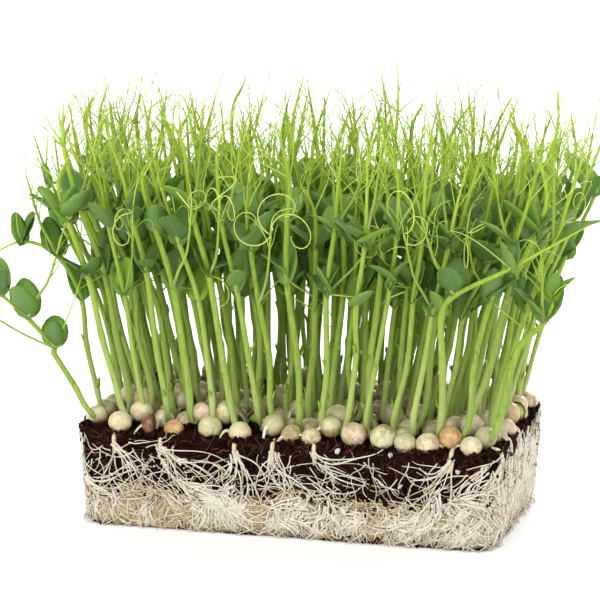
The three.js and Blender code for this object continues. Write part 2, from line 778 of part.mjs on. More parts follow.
function tuftGeometry(tuft) {
  let sheet = buildSheet(tuft);
  for (let crossing = crossingGrowths(sheet); crossing.size; crossing = crossingGrowths(sheet)) {
    tuft.growths = tuft.growths.filter((growth) => !crossing.has(growth) && !crossing.has(growth.stalk));
    sheet = buildSheet(tuft);
  }
  return indexedGeometry(
    sheet.points,
    sheet.faces.map(({ face }) => face),
  );
}

// A stem's socket in the bed
function socketFor({ route, start }) {
  const along = directionAt(route, 0);
  const floor = route[0].clone().addScaledVector(along, -GAP);
  const mouth = floor.clone().addScaledVector(along, 2 * SOCKET_DEPTH);
  const radius = STEM_RADII[0] + SOCKET_EASE;
  return threeSidedTube([floor, mouth], [radius, radius], start);
}

// The whole

const group = new THREE.Group();

function addNode(name, geometry, color, roughness) {
  const mesh = new THREE.Mesh(geometry, new THREE.MeshStandardMaterial({ color, roughness, metalness: 0 }));
  mesh.name = name;
  group.add(mesh);
}

const tufts = placeStand();
const shoots = tufts.flatMap((tuft) => tuft.shoots);
const feet = shoots.flatMap(({ route }) => [0, 0.1].map((t) => route[0].clone().lerp(route[1], t)));
const bed = shoots.reduce((solid, shoot) => solid.subtract(socketFor(shoot)), peaBed(feet));

addNode("soil_block", geometryFrom(soilBlock()), 0x2c1a12, 0.95);
addNode("root_mat", geometryFrom(rootMat()), 0xe9e0c4, 0.8);
addNode("pea_bed", geometryFrom(bed), 0xc9c08e, 0.6);
tufts.forEach((tuft) => addNode(tuft.name, tuftGeometry(tuft), 0x7fb52e, 0.55));

export default group;
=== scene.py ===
"""Dresses the block of pea shoots: soil, root mat, germinated peas, stems, leaves and tendrils.

Shapes are worked out in millimetres in the model's own frame and scaled to metres when a mesh is made.
The stand of shoots repeats the seeded rule that placed the solid ones, so each finer shoot grows where
its solid stands.
"""
import math

import bpy
import numpy as np
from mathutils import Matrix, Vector


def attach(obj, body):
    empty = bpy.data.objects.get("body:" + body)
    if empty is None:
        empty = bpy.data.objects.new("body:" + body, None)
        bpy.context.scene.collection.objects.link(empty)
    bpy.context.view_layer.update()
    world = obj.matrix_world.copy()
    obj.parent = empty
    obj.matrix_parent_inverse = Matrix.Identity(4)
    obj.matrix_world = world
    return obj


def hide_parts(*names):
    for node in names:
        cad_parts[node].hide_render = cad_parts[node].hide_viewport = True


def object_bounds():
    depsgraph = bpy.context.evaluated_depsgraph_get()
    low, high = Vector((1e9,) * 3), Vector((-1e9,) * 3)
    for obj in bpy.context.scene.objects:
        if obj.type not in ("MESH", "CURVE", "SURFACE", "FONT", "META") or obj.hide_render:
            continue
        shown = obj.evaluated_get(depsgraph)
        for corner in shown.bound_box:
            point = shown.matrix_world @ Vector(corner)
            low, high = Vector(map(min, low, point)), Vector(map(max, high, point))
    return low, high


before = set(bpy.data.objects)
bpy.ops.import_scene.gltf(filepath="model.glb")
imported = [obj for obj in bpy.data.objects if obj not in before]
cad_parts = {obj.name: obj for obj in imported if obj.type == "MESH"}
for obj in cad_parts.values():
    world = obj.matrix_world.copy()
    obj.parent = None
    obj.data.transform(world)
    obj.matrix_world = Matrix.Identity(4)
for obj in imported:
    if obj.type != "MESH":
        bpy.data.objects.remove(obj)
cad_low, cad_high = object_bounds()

MM = 0.001
TURN = 2 * math.pi

# The block and the stand, as in the solid model
BLOCK_LENGTH = 172
BLOCK_DEPTH = 96
BED_TOP = 39.5
TAPER = 3
CORNER_RADIUS = 9
GAP = 0.3
MAT_HEIGHT = 18
PEA_RADIUS = 4.7
PEA_OVERHANG = 0.5
SHOOT_COLUMNS = 18
SHOOT_ROWS = 8
STAND_LENGTH = 164
STAND_DEPTH = 86
JITTER = 1.5
BEND_PITCH = 30
SPREAD_FROM = 8
SPREAD_TO = 120
SPREAD_X = 0.42
SPREAD_Y = 0.45
SWAY = 3.6
SWAY_HEIGHT = 110
STEM_RADII = (1.55, 1.4, 1.15, 0.8, 0)
SOCKET_DEPTH = 2.4
JOINT_REACH = 2.6
LEAF_WIDTH = 0.6
STALK_RADIUS = 0.75
SEED = 89
LEANING = {
    (0, 0): ((-81, -38, 0), (-97, -39, 70), (-108, -40, 82), (-120, -41, 92), (-131, -42, 98)),
    (0, 1): ((-81, -27, 0), (-89, -29, 89), (-98, -31, 106), (-112, -34, 112), (-128, -37, 104)),
    (17, 0): ((80, -38, 0), (95, -42, 85), (103, -44, 93), (106, -46, 103), (100, -50, 116)),
    (15, 0): ((60, -38, 0), (63, -46, 93), (69, -51, 103), (92, -57, 116), (123, -60, 135)),
}

LOW, HIGH = np.array(cad_low) / MM, np.array(cad_high) / MM

rng = np.random.default_rng(7)


def lerp(a, b, t):
    return a + (b - a) * t


def smooth(t):
    s = min(1, max(0, t))
    return s * s * (3 - 2 * s)


def level_way(azimuth):
    return np.array([math.cos(azimuth), math.sin(azimuth), 0])


def unit(v):
    v = np.asarray(v, float)
    return v / np.maximum(np.linalg.norm(v, axis=-1, keepdims=True), 1e-9)


# Meshes


class Heap:
    """Points and faces gathered for one mesh. A look is four numbers kept at each point for the materials."""

    def __init__(self):
        self.points, self.faces, self.slots, self.looks, self.maps = [], [], [], [], []
        self.count = 0

    def add(self, points, faces, slot, look, uv=None):
        points = np.asarray(points, float).reshape(-1, 3)
        self.points.append(points)
        self.looks.append(np.broadcast_to(np.asarray(look, float), (len(points), 4)))
        self.maps.append(np.zeros((len(points), 2)) if uv is None else uv)
        for block in faces:
            block = np.asarray(block, np.int64)
            self.faces.append(block + self.count)
            self.slots.append(np.full(len(block), slot))
        self.count += len(points)

    def make(self, name, materials):
        points = np.concatenate(self.points) * MM
        corners = np.concatenate([block.ravel() for block in self.faces])
        sizes = np.concatenate([np.full(len(block), block.shape[1]) for block in self.faces])
        mesh = bpy.data.meshes.new(name)
        mesh.vertices.add(len(points))
        mesh.vertices.foreach_set("co", points.ravel())
        mesh.loops.add(len(corners))
        mesh.loops.foreach_set("vertex_index", corners)
        mesh.polygons.add(len(sizes))
        mesh.polygons.foreach_set("loop_start", np.concatenate([[0], np.cumsum(sizes)[:-1]]))
        mesh.polygons.foreach_set("loop_total", sizes)
        mesh.polygons.foreach_set("material_index", np.concatenate(self.slots))
        mesh.update(calc_edges=True)
        mesh.polygons.foreach_set("use_smooth", np.ones(len(sizes), bool))
        looks = mesh.attributes.new("look", "FLOAT_COLOR", "POINT")
        looks.data.foreach_set("color", np.concatenate(self.looks).ravel())
        uv = mesh.uv_layers.new(name="map")
        uv.data.foreach_set("uv", np.concatenate(self.maps)[corners].ravel())
        for material in materials:
            mesh.materials.append(material)
        piece = bpy.data.objects.new(name, mesh)
        bpy.context.scene.collection.objects.link(piece)
        return piece


def show(heap, name, materials, stands_for=None):
    """Makes a heap's piece, hangs it under the root body and hides the solid part that it stands for."""
    piece = heap.make(name, materials)
    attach(piece, "root")
    if stands_for:
        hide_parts(stands_for)


def tinted(tints):
    """Looks that hold a tint alone."""
    looks = np.zeros((len(tints), 4))
    looks[:, 0] = tints
    return looks


def add_tubes(heap, paths, radii, sides, slot, looks):
    """Closed round tubes through paths (tube, point, xyz), all with the same number of points."""
    if not len(paths):
        return
    tubes, count, _ = paths.shape
    radii = np.broadcast_to(radii, (tubes, count))[:, :, None, None]
    along = unit(np.gradient(paths, axis=1))
    helper = np.where(np.abs(along[:, 0, 2:3]) > 0.8, [[1.0, 0, 0]], [[0, 0, 1.0]])
    side = unit(np.cross(along[:, 0], helper))
    carried = [side]
    for i in range(1, count):
        side = unit(side - np.sum(side * along[:, i], axis=1, keepdims=True) * along[:, i])
        carried.append(side)
    side = np.stack(carried, axis=1)
    across = np.cross(along, side)
    n = np.arange(sides)
    angles = (n / sides * TURN)[None, None, :, None]
    ring = side[:, :, None] * np.cos(angles) + across[:, :, None] * np.sin(angles)
    points = (paths[:, :, None] + ring * radii).reshape(-1, 3)
    base = (np.arange(tubes) * count * sides)[:, None, None]
    low = base + (np.arange(count - 1) * sides)[None, :, None]
    m = (n + 1) % sides
    quads = np.stack([low + n, low + m, low + sides + m, low + sides + n], axis=-1).reshape(-1, 4)
    ends = [base[:, 0] + n[::-1], base[:, 0] + (count - 1) * sides + n]
    looks = np.repeat(np.broadcast_to(np.asarray(looks, float), (tubes, 4)), count * sides, axis=0)
    looks[:, 3] = np.tile(np.repeat(np.linspace(0, 1, count), sides), tubes)
    round_it = np.tile(n / sides, tubes * count)
    heap.add(points, [quads, *ends], slot, looks, np.stack([round_it, looks[:, 3]], axis=1))


def curved_paths(start, direction, length, bend, curl, wave, count):
    """Paths that bend steadily, wave as they go and curl up towards their ends; the three are in radians."""
    way = unit(direction)
    axis = unit(np.cross(way, rng.normal(size=way.shape)))
    phase = rng.uniform(0, TURN, len(way))
    drift = rng.normal(0, 0.09, len(way))[:, None]
    points = [start]
    for i in range(1, count):
        share = (i - 0.5) / (count - 1)
        angle = ((bend + 4 * curl * share**3 + wave * np.sin(phase + 6 * share)) / (count - 1))[:, None]
        way = unit(way * np.cos(angle) + np.cross(axis, way) * np.sin(angle))
        axis = unit(axis * np.cos(drift) + np.cross(way, axis) * np.sin(drift))
        points.append(points[-1] + way * (length / (count - 1))[:, None])
    return np.stack(points, axis=1)


def through(points, count):
    """A smooth path of count points through the given ones."""
    p = np.asarray(points, float)
    p = np.concatenate([[2 * p[0] - p[1]], p, [2 * p[-1] - p[-2]]])
    lengths = np.linalg.norm(np.diff(p[1:-1], axis=0), axis=1)
    marks = np.concatenate([[0], np.cumsum(lengths)])
    out = []
    for s in np.linspace(0, marks[-1], count):
        i = min(len(lengths) - 1, int(np.searchsorted(marks, s, side="right")) - 1)
        t = (s - marks[i]) / lengths[i]
        a, b, c, d = p[i : i + 4]
        out.append(
            0.5 * (2 * b + (c - a) * t + (2 * a - 5 * b + 4 * c - d) * t * t + (3 * b - a - 3 * c + d) * t**3)
        )
    return np.array(out)


def arches(start, peak, end, count):
    """Paths from start to end that lean towards the peak on the way."""
    t = np.linspace(0, 1, count)[None, :, None]
    return start[:, None] * (1 - t) ** 2 + 2 * peak[:, None] * t * (1 - t) + end[:, None] * t**2


class Field:
    """A smooth random field in three dimensions, for lumps and dents."""

    def __init__(self, seed, size):
        draw = np.random.default_rng(seed)
        self.size = size
        self.values = draw.uniform(-1, 1, (32, 32, 32))

    def at(self, points):
        q = np.asarray(points, float) / self.size
        cell = np.floor(q).astype(int)
        f = q - cell
        f = f * f * (3 - 2 * f)
        total = 0
        for corner in range(8):
            bits = np.array([corner & 1, corner >> 1 & 1, corner >> 2 & 1])
            where = (cell + bits) % 32
            weight = np.prod(np.where(bits, f, 1 - f), axis=-1)
            total = total + weight * self.values[where[..., 0], where[..., 1], where[..., 2]]
        return total


coarse = Field(1, 9.0)
middling = Field(2, 3.2)
fine = Field(3, 1.3)


# The block's outline


def half_sizes(z, out):
    inset = TAPER * (BED_TOP - z) / BED_TOP
    return BLOCK_LENGTH / 2 - inset + out, BLOCK_DEPTH / 2 - inset + out


def beside(share, z, out):
    """Points beside the block's face at a share of the way round it, with the outward direction there.
    Each quarter of the way is a straight stretch, a rounded corner and another straight stretch."""
    share, z, out = np.broadcast_arrays(np.asarray(share, float) % 1, z, out)
    flat_x, flat_y = (half - CORNER_RADIUS for half in half_sizes(z, 0))
    quarter = np.floor(4 * share)
    on_side = quarter % 2 == 0
    first, second = np.where(on_side, flat_y, flat_x), np.where(on_side, flat_x, flat_y)
    arc = TURN / 4 * CORNER_RADIUS
    way = (4 * share - quarter) * (first + arc + second)
    bend = np.clip((way - first) / CORNER_RADIUS, 0, TURN / 4)
    forward = second + CORNER_RADIUS * np.cos(bend) - np.maximum(way - first - arc, 0)
    sideways = np.minimum(way, first) + CORNER_RADIUS * np.sin(bend)
    turn = quarter * TURN / 4
    x = forward * np.cos(turn) - sideways * np.sin(turn)
    y = forward * np.sin(turn) + sideways * np.cos(turn)
    outward = np.stack([np.cos(turn + bend), np.sin(turn + bend), 0 * turn], axis=-1)
    return np.stack([x, y, z], axis=-1) + outward * out[..., None], outward


# Materials


class Graph:
    """One material and its nodes, with short names for the few kinds of node that are used."""

    def __init__(self, name):
        self.material = bpy.data.materials.new(name)
        self.material.use_nodes = True
        self.tree = self.material.node_tree
        self.shader = self.tree.nodes["Principled BSDF"]

    def node(self, kind, sockets=None, **settings):
        """A new node, with a number, a colour or another node's output put into its sockets."""
        node = self.tree.nodes.new(kind)
        for key, value in settings.items():
            setattr(node, key, value)
        for key, value in (sockets or {}).items():
            if isinstance(value, (int, float)):
                node.inputs[key].default_value = value
            elif isinstance(value, tuple):
                node.inputs[key].default_value = (*value, 1)
            else:
                self.link(value, node.inputs[key])
        return node

    def link(self, source, target):
        self.tree.links.new(source, target)

    def look(self):
        attribute = self.node("ShaderNodeAttribute", attribute_name="look")
        split = self.node("ShaderNodeSeparateColor", {0: attribute.outputs["Color"]})
        return (*split.outputs, attribute.outputs["Alpha"])

    def place(self):
        return self.node("ShaderNodeTexCoord").outputs["Object"]

    def split(self, vector):
        return self.node("ShaderNodeSeparateXYZ", {0: vector}).outputs

    def noise(self, scale, detail=3, rough=0.55, place=None):
        place = place or self.place()
        sockets = {"Vector": place, "Scale": scale, "Detail": detail, "Roughness": rough}
        return self.node("ShaderNodeTexNoise", sockets).outputs["Fac"]

    def math(self, operation, a, b=0.0):
        return self.node("ShaderNodeMath", {0: a, 1: b}, operation=operation).outputs[0]

    def ramp(self, value, *stops):
        node = self.node("ShaderNodeValToRGB", {0: value})
        elements = node.color_ramp.elements
        while len(elements) < len(stops):
            elements.new(0.5)
        for element, (position, colour) in zip(elements, stops):
            element.position = position
            element.color = (*colour, 1)
        return node.outputs[0]

    def level(self, value, low, high, to_low=0.0, to_high=1.0):
        sockets = dict(enumerate((value, low, high, to_low, to_high)))
        return self.node("ShaderNodeMapRange", sockets, clamp=True).outputs[0]

    def mix(self, share, first, second):
        return self.node("ShaderNodeMix", {0: share, 6: first, 7: second}, data_type="RGBA").outputs[2]

    def stain(self, base, mask, strength, colour):
        """The base with a colour mixed in where the mask is high."""
        return self.mix(self.math("MULTIPLY", mask, strength), base, colour)

    def surface(self, base, rough, specular=0.5):
        self.link(base, self.shader.inputs["Base Color"])
        self.shader.inputs["Roughness"].default_value = rough
        self.shader.inputs["Specular IOR Level"].default_value = specular

    def bump(self, height, distance, strength):
        node = self.node("ShaderNodeBump", {"Height": height, "Distance": distance, "Strength": strength})
        self.link(node.outputs[0], self.shader.inputs["Normal"])

    def through_light(self, colour, share):
        """Lets some light through a thin part."""
        glow = self.node("ShaderNodeBsdfTranslucent", {"Color": colour})
        blend = self.node("ShaderNodeMixShader", {0: share, 1: self.shader.outputs[0], 2: glow.outputs[0]})
        self.link(blend.outputs[0], self.tree.nodes["Material Output"].inputs["Surface"])


def leaf_material():
    """Dark green with a pale bloom and lighter veins, a painted glow at the rims, and yellow-green where
    young or lit through.
    """
    g = Graph("pea leaf")
    tint, under, young, _ = g.look()
    across, along, _ = g.split(g.node("ShaderNodeUVMap", uv_map="map").outputs[0])
    off = g.math("MULTIPLY", g.math("ABSOLUTE", g.math("SUBTRACT", across, 0.5)), 2.0)
    rib = g.level(off, 0.02, 0.08, 1.0, 0.0)
    sweep = g.math("SUBTRACT", g.math("MULTIPLY", along, 8.0), g.math("MULTIPLY", off, 3.4))
    wobble = g.math("MULTIPLY", g.noise(160, 2), 1.1)
    line = g.math("ABSOLUTE", g.math("SUBTRACT", g.math("FRACT", g.math("ADD", sweep, wobble)), 0.5))
    vein = g.math("MAXIMUM", rib, g.level(line, 0.0, 0.09, 0.5, 0.0))
    base = g.ramp(
        tint,
        (0.0, (0.055, 0.135, 0.034)),
        (0.35, (0.11, 0.235, 0.046)),
        (0.7, (0.19, 0.35, 0.06)),
        (1.0, (0.28, 0.48, 0.06)),
    )
    base = g.stain(base, g.level(g.noise(190, 4, 0.6), 0.35, 0.7), 0.55, (0.19, 0.28, 0.13))
    base = g.stain(base, g.level(g.noise(900, 2, 0.7), 0.62, 0.7), 0.15, (0.26, 0.36, 0.17))
    base = g.stain(base, vein, 0.55, (0.30, 0.44, 0.14))
    # Painted glow: the rims are lightened towards yellow-green as if light shone through the thin edges.
    base = g.mix(g.level(off, 0.72, 1.0, 0.0, 0.85), base, (0.31, 0.53, 0.05))
    base = g.stain(base, young, 0.8, (0.30, 0.52, 0.03))
    base = g.stain(base, under, 0.4, (0.16, 0.27, 0.09))
    g.surface(base, 0.5, 0.35)
    g.bump(g.math("SUBTRACT", g.noise(700, 2), g.math("MULTIPLY", vein, 0.8)), 0.00012, 0.7)
    g.through_light(g.mix(0.72, base, (0.33, 0.62, 0.02)), 0.34)
    return g.material


def stem_material():
    """White at the foot and green above, with pale streaks along it."""
    g = Graph("pea stem")
    tint, _, _, along = g.look()
    base = g.ramp(
        along,
        (0.0, (0.60, 0.64, 0.36)),
        (0.1, (0.50, 0.59, 0.21)),
        (0.3, (0.36, 0.50, 0.10)),
        (0.6, (0.33, 0.50, 0.06)),
        (1.0, (0.46, 0.62, 0.045)),
    )
    base = g.stain(base, tint, 0.65, (0.16, 0.30, 0.008))
    stretch = g.node("ShaderNodeMapping", {0: g.place()})
    stretch.inputs["Scale"].default_value = (1, 1, 0.12)
    streak = g.noise(1100, 3, 0.6, stretch.outputs[0])
    base = g.mix(g.level(streak, 0.42, 0.7, 0.0, 0.5), base, (0.54, 0.62, 0.16))
    g.surface(base, 0.5, 0.2)
    g.bump(streak, 0.0004, 1.0)
    g.through_light(g.mix(0.6, base, (0.42, 0.70, 0.0)), 0.22)
    return g.material


def tendril_material():
    g = Graph("pea tendril")
    tint, _, _, along = g.look()
    base = g.ramp(
        tint,
        (0.0, (0.26, 0.40, 0.08)),
        (0.2, (0.42, 0.60, 0.07)),
        (0.6, (0.55, 0.72, 0.11)),
        (1.0, (0.70, 0.82, 0.24)),
    )
    base = g.stain(base, along, 0.4, (0.60, 0.72, 0.12))
    g.surface(base, 0.4)
    g.through_light(g.mix(0.5, base, (0.66, 0.86, 0.08)), 0.35)
    return g.material


def root_material():
    """Cream to white, yellower at the tip, and dirtier near the ground. Its low tints give a darker tan, used
    as painted shade on the strands deep in the mat.
    """
    g = Graph("pea root")
    tint, _, _, along = g.look()
    base = g.ramp(
        tint, (0.0, (0.52, 0.39, 0.21)), (0.35, (0.71, 0.61, 0.43)), (1.0, (0.84, 0.81, 0.73))
    )
    base = g.mix(g.level(along, 0.75, 1.0, 0.0, 0.55), base, (0.76, 0.60, 0.26))
    low = g.level(g.split(g.place())[2], 0.0005, 0.006, 0.13, 0.0)
    dirt = g.level(g.math("ADD", g.noise(330, 4, 0.65), low), 0.54, 0.72)
    base = g.stain(base, dirt, 0.6, (0.27, 0.15, 0.08))
    g.surface(base, 0.48)
    g.bump(g.noise(1800, 3), 0.00012, 0.6)
    g.through_light(g.mix(0.4, base, (0.9, 0.8, 0.55)), 0.15)
    return g.material


def felt_material():
    """The matted ground between the strands, darker with soil at the mat's foot and upper edge."""
    g = Graph("root felt")
    threads = g.noise(300, 6, 0.75)
    z = g.split(g.place())[2]
    base = g.ramp(
        g.math("ADD", threads, g.level(z, 0.004, 0.018, 0.2, -0.1)),
        (0.3, (0.03, 0.014, 0.009)),
        (0.45, (0.19, 0.11, 0.06)),
        (0.56, (0.56, 0.44, 0.26)),
        (0.8, (0.76, 0.65, 0.45)),
    )
    base = g.mix(g.level(z, 0.0008, 0.0045, 0.8, 0.0), base, (0.10, 0.05, 0.03))
    g.surface(base, 0.75)
    g.bump(threads, 0.0009, 0.9)
    return g.material


def soil_material():
    g = Graph("coir soil")
    tint = g.look()[0]
    base = g.ramp(
        g.noise(170, 6, 0.7),
        (0.34, (0.0015, 0.0006, 0.0005)),
        (0.54, (0.005, 0.0017, 0.0011)),
        (0.74, (0.022, 0.007, 0.004)),
    )
    base = g.stain(base, g.math("POWER", tint, 3.0), 0.6, (0.11, 0.03, 0.014))
    base = g.stain(base, g.level(g.noise(1500, 2, 0.6), 0.66, 0.74), 0.45, (0.17, 0.075, 0.04))
    g.surface(base, 0.9, 0.06)
    g.bump(g.noise(700, 6, 0.75), 0.0015, 1.0)
    return g.material


def fibre_material():
    g = Graph("coir fibre")
    tint = g.look()[0]
    base = g.ramp(
        tint, (0.0, (0.035, 0.01, 0.005)), (0.75, (0.13, 0.036, 0.016)), (1.0, (0.32, 0.14, 0.06))
    )
    g.surface(g.mix(g.level(g.noise(600, 3), 0.4, 0.7, 0, 0.5), base, (0.03, 0.011, 0.007)), 0.8)
    return g.material


def perlite_material():
    g = Graph("perlite")
    pores = g.noise(1600, 4, 0.7)
    g.surface(g.ramp(pores, (0.35, (0.30, 0.27, 0.25)), (0.6, (0.66, 0.64, 0.62))), 0.85)
    g.bump(pores, 0.0003, 0.8)
    return g.material


def pea_material():
    """Seed coats from green to cream, tan and brown, clouded, stained, specked and soiled from below."""
    g = Graph("germinated pea")
    tint, worn, _, _ = g.look()
    base = g.ramp(
        tint,
        (0.0, (0.34, 0.50, 0.05)),
        (0.1, (0.32, 0.31, 0.15)),
        (0.3, (0.47, 0.44, 0.21)),
        (0.52, (0.63, 0.56, 0.34)),
        (0.74, (0.58, 0.43, 0.28)),
        (0.88, (0.56, 0.32, 0.10)),
        (1.0, (0.12, 0.042, 0.016)),
    )
    cloud = g.level(g.noise(230, 4, 0.6), 0.42, 0.68, 0.0, 0.5)
    base = g.stain(base, cloud, g.level(tint, 0.9, 1.0, 1.0, 0.0), (0.66, 0.62, 0.44))
    patches = g.level(g.noise(240, 5, 0.7), 0.45, 0.6)
    base = g.stain(base, patches, g.level(worn, 0, 1, 0.2, 0.9), (0.29, 0.18, 0.08))
    low = g.level(g.split(g.place())[2], (BED_TOP - 1) * MM, (BED_TOP + 4) * MM, 0.3, -0.22)
    soiled = g.level(g.math("ADD", g.noise(420, 5, 0.75), low), 0.56, 0.7, 0.0, 0.85)
    base = g.mix(soiled, base, (0.10, 0.05, 0.026))
    base = g.stain(base, g.level(g.noise(1500, 2, 0.5), 0.66, 0.7), 0.7, (0.13, 0.06, 0.03))
    g.surface(base, 0.26)
    g.shader.inputs["Subsurface Weight"].default_value = 0.1
    g.shader.inputs["Subsurface Radius"].default_value = (0.004, 0.003, 0.0015)
    g.bump(g.noise(800, 4, 0.6), 0.0004, 0.5)
    return g.material


def floor_material():
    g = Graph("pale floor")
    g.surface(g.ramp(g.noise(3, 3), (0.3, (0.88, 0.88, 0.885)), (0.7, (0.91, 0.91, 0.91))), 0.7)
    return g.material


# The stand of shoots: the same seeded rule as the solid model's


def random_stream(seed):
    state = seed * 7919 + 13

    def step():
        nonlocal state
        state = state * 48271 % 2147483647
        return state / 2147483647

    for _ in range(3):
        step()
    return step


def shoot_plan(column, row):
    draw = random_stream(SEED * 100 + row * SHOOT_COLUMNS + column)
    low = lerp(50, 66, draw())
    high = low + lerp(20, 27, draw())
    top = high + lerp(16, 28, draw())
    return {
        "x": ((column + 0.5) / SHOOT_COLUMNS - 0.5) * STAND_LENGTH + JITTER * (2 * draw() - 1),
        "y": ((row + 0.5) / SHOOT_ROWS - 0.5) * STAND_DEPTH + JITTER * (2 * draw() - 1),
        "heights": [-SOCKET_DEPTH + GAP, low, high, top, top + lerp(10, 22, draw())],
        "bend": lerp(1, 2.6, draw()),
        "bend_phase": TURN * draw(),
        "tip_lean": lerp(2, 9, draw()),
        "tip_turn": TURN * draw(),
        "leaf_turns": [draw() - 0.5 for _ in range(3)],
        "leaf_lengths": [lerp(12, 16, draw()), lerp(15, 21, draw()), lerp(14, 19, draw())],
        "leaf_rises": [lerp(0.55, 0.85, draw()) for _ in range(3)],
        "first_leaf_face": math.floor(3 * draw()),
        "stalk_face": math.floor(3 * draw()),
        "stalk_turn": draw() - 0.5,
        "stalk_length": lerp(28, 42, draw()),
        "needle_turns": [draw() - 0.5 for _ in range(3)],
        "needle_lengths": [lerp(15, 25, draw()) for _ in range(3)],
        "needle_leans": [lerp(0.5, 0.95, draw()) for _ in range(3)],
    }


def axis_point(plan, height, steadiness):
    wave = plan["bend"] * (math.sin(height / BEND_PITCH + plan["bend_phase"]) - math.sin(plan["bend_phase"]))
    rise = smooth((height - SPREAD_FROM) / (SPREAD_TO - SPREAD_FROM))
    sway = SWAY * smooth(height / SWAY_HEIGHT)
    x, y = plan["x"], plan["y"]
    u = x + steadiness * wave
    v = y + steadiness * wave * math.cos(3 * plan["bend_phase"])
    return np.array(
        [
            u * (1 + SPREAD_X * rise) + sway * math.sin(x / 21 + y / 26 + 0.6),
            v * (1 + SPREAD_Y * rise) + sway * math.sin(x / 27 - y / 18 + 2.1),
            BED_TOP + height,
        ]
    )


def stem_route(plan, column, row, steadiness):
    leaning = LEANING.get((column, row))
    if leaning:
        route = np.array(leaning, float)
        route[0, 2] = BED_TOP + plan["heights"][0]
        return route
    route = np.array([axis_point(plan, height, steadiness) for height in plan["heights"]])
    lean = steadiness * plan["tip_lean"]
    route[4, :2] += (lean * math.cos(plan["tip_turn"]), lean * math.sin(plan["tip_turn"]))
    return route


BALL_STEP = 2.5
BALL_EASE = 0.25
BALL_SMALLEST = 0.9
OWN_STEM_SHARE = 0.85
LARGEST_REACH = 5
NEAR = 5


class Balls:
    """What is already placed, as balls: x, y, z, radius, shoot, is it a stem, is it near its root."""

    def __init__(self):
        self.rows = np.zeros((40000, 7))
        self.count = 0

    def keep(self, balls, shoot, is_stem):
        rows = self.rows[self.count : self.count + len(balls)]
        rows[:, :4] = balls[:, :4]
        rows[:, 4] = shoot
        rows[:, 5] = is_stem
        rows[:, 6] = 0 if is_stem else balls[:, 4]
        self.count += len(balls)

    def clear(self, balls, shoot):
        rows = self.rows[: self.count]
        low = balls[:, :3].min(0) - LARGEST_REACH
        high = balls[:, :3].max(0) + LARGEST_REACH
        rows = rows[np.all((rows[:, :3] > low) & (rows[:, :3] < high), axis=1)]
        if not len(rows):
            return True
        apart = np.sum((balls[:, None, :3] - rows[None, :, :3]) ** 2, axis=-1)
        own = rows[:, 4] == shoot
        share = np.where(own & (rows[:, 5] == 1), OWN_STEM_SHARE, 1)
        reach = share[None] * (balls[:, None, 3] + rows[None, :, 3]) + GAP
        skip = own[None] & ((rows[None, :, 6] == 1) | (balls[:, None, 4] == 1))
        return bool(np.all((apart >= reach**2) | skip))


balls = Balls()


def balls_along(points, radii):
    made = []
    travelled = 0
    for i in range(len(points) - 1):
        length = float(np.linalg.norm(points[i + 1] - points[i]))
        steps = math.ceil(length / BALL_STEP)
        for n in range(steps):
            share = (n + 0.5) / steps
            radius = max(BALL_SMALLEST, lerp(radii[i], radii[i + 1], share) + BALL_EASE)
            at = lerp(points[i], points[i + 1], share)
            made.append((*at, radius, travelled + share * length < NEAR))
        travelled += length
    return np.array(made, float)


# Along a leaf as a share of its length, to its side as a share of its half width, radius
LEAF_BALLS = np.array(
    [(0.12, 0, 1.5), (0.3, 0, 1.9), (0.5, 0, 1.9), (0.72, 0, 1.9), (0.94, 0, 1.3)]
    + [(0.3, side, 1.7) for side in (0.55, -0.55)]
    + [(0.34, side, 1.2) for side in (0.9, -0.9)]
    + [(0.52, side, 1.8) for side in (0.5, -0.5)]
    + [(0.66, side, 1.2) for side in (0.7, -0.7)]
)


def leaf_axes(azimuth, rise):
    across = np.array([-math.sin(azimuth), math.cos(azimuth), 0])
    flat = math.cos(rise)
    along = np.array([math.cos(azimuth) * flat, math.sin(azimuth) * flat, math.sin(rise)])
    return along, across, np.cross(along, across)


def leaf_balls(root, azimuth, rise, length):
    along, across, _ = leaf_axes(azimuth, rise)
    share, side, radius = LEAF_BALLS.T
    at = root + along * (share * length)[:, None] + across * (side * length * LEAF_WIDTH / 2)[:, None]
    return np.column_stack([at, radius, share * length < NEAR])


def face_azimuth(start, face):
    return start + (face + 0.5) * TURN / 3


CHAIN = ((0, 0, 0), (1, 0, 75), (1, 1, 165), (0, 1, 0))
TURNS = (0, 0.2, -0.2, 0.4, -0.4)
SIZES = (1, 0.8, 0.62)
LEAF_PAIR = (0, -TURN / 18, TURN / 18)
LEAF_ORDER = ((1, 2, "stalk_face", 1), (2, 2, "stalk_face", 2), (0, 1, "first_leaf_face", 0))


def first_clear(shoot, make):
    for size in SIZES:
        for turn in TURNS:
            made = make(turn, size)
            if balls.clear(made["balls"], shoot["name"]):
                balls.keep(made["balls"], shoot["name"], False)
                return made
    return None


def towards(root, azimuth, lean, length):
    reach = math.sin(lean) * length
    return root + np.array([reach * math.cos(azimuth), reach * math.sin(azimuth), math.cos(lean) * length])


def place_shoot(column, row, facing):
    plan = shoot_plan(column, row)
    name = row * SHOOT_COLUMNS + column
    for steadiness in (1, 0.6, 0.3, 0):
        route = stem_route(plan, column, row, steadiness)
        found = balls_along(route, STEM_RADII)
        if balls.clear(found, name):
            break
    balls.keep(found, name, True)
    return {"name": name, "plan": plan, "route": route, "start": (facing / 360 - 1 / 6) * TURN}


def place_leaf(shoot, joint, face, n):
    plan = shoot["plan"]
    root = shoot["route"][joint] + np.array([0, 0, JOINT_REACH / 2])

    def make(turn, size):
        azimuth = face_azimuth(shoot["start"], face) + LEAF_PAIR[n] + 0.4 * plan["leaf_turns"][n] + turn
        length = size * plan["leaf_lengths"][n]
        rise = plan["leaf_rises"][n]
        leaf = {"root": root, "azimuth": azimuth, "rise": rise, "length": length}
        return {**leaf, "balls": leaf_balls(root, azimuth, rise, length)}

    return first_clear(shoot, make)


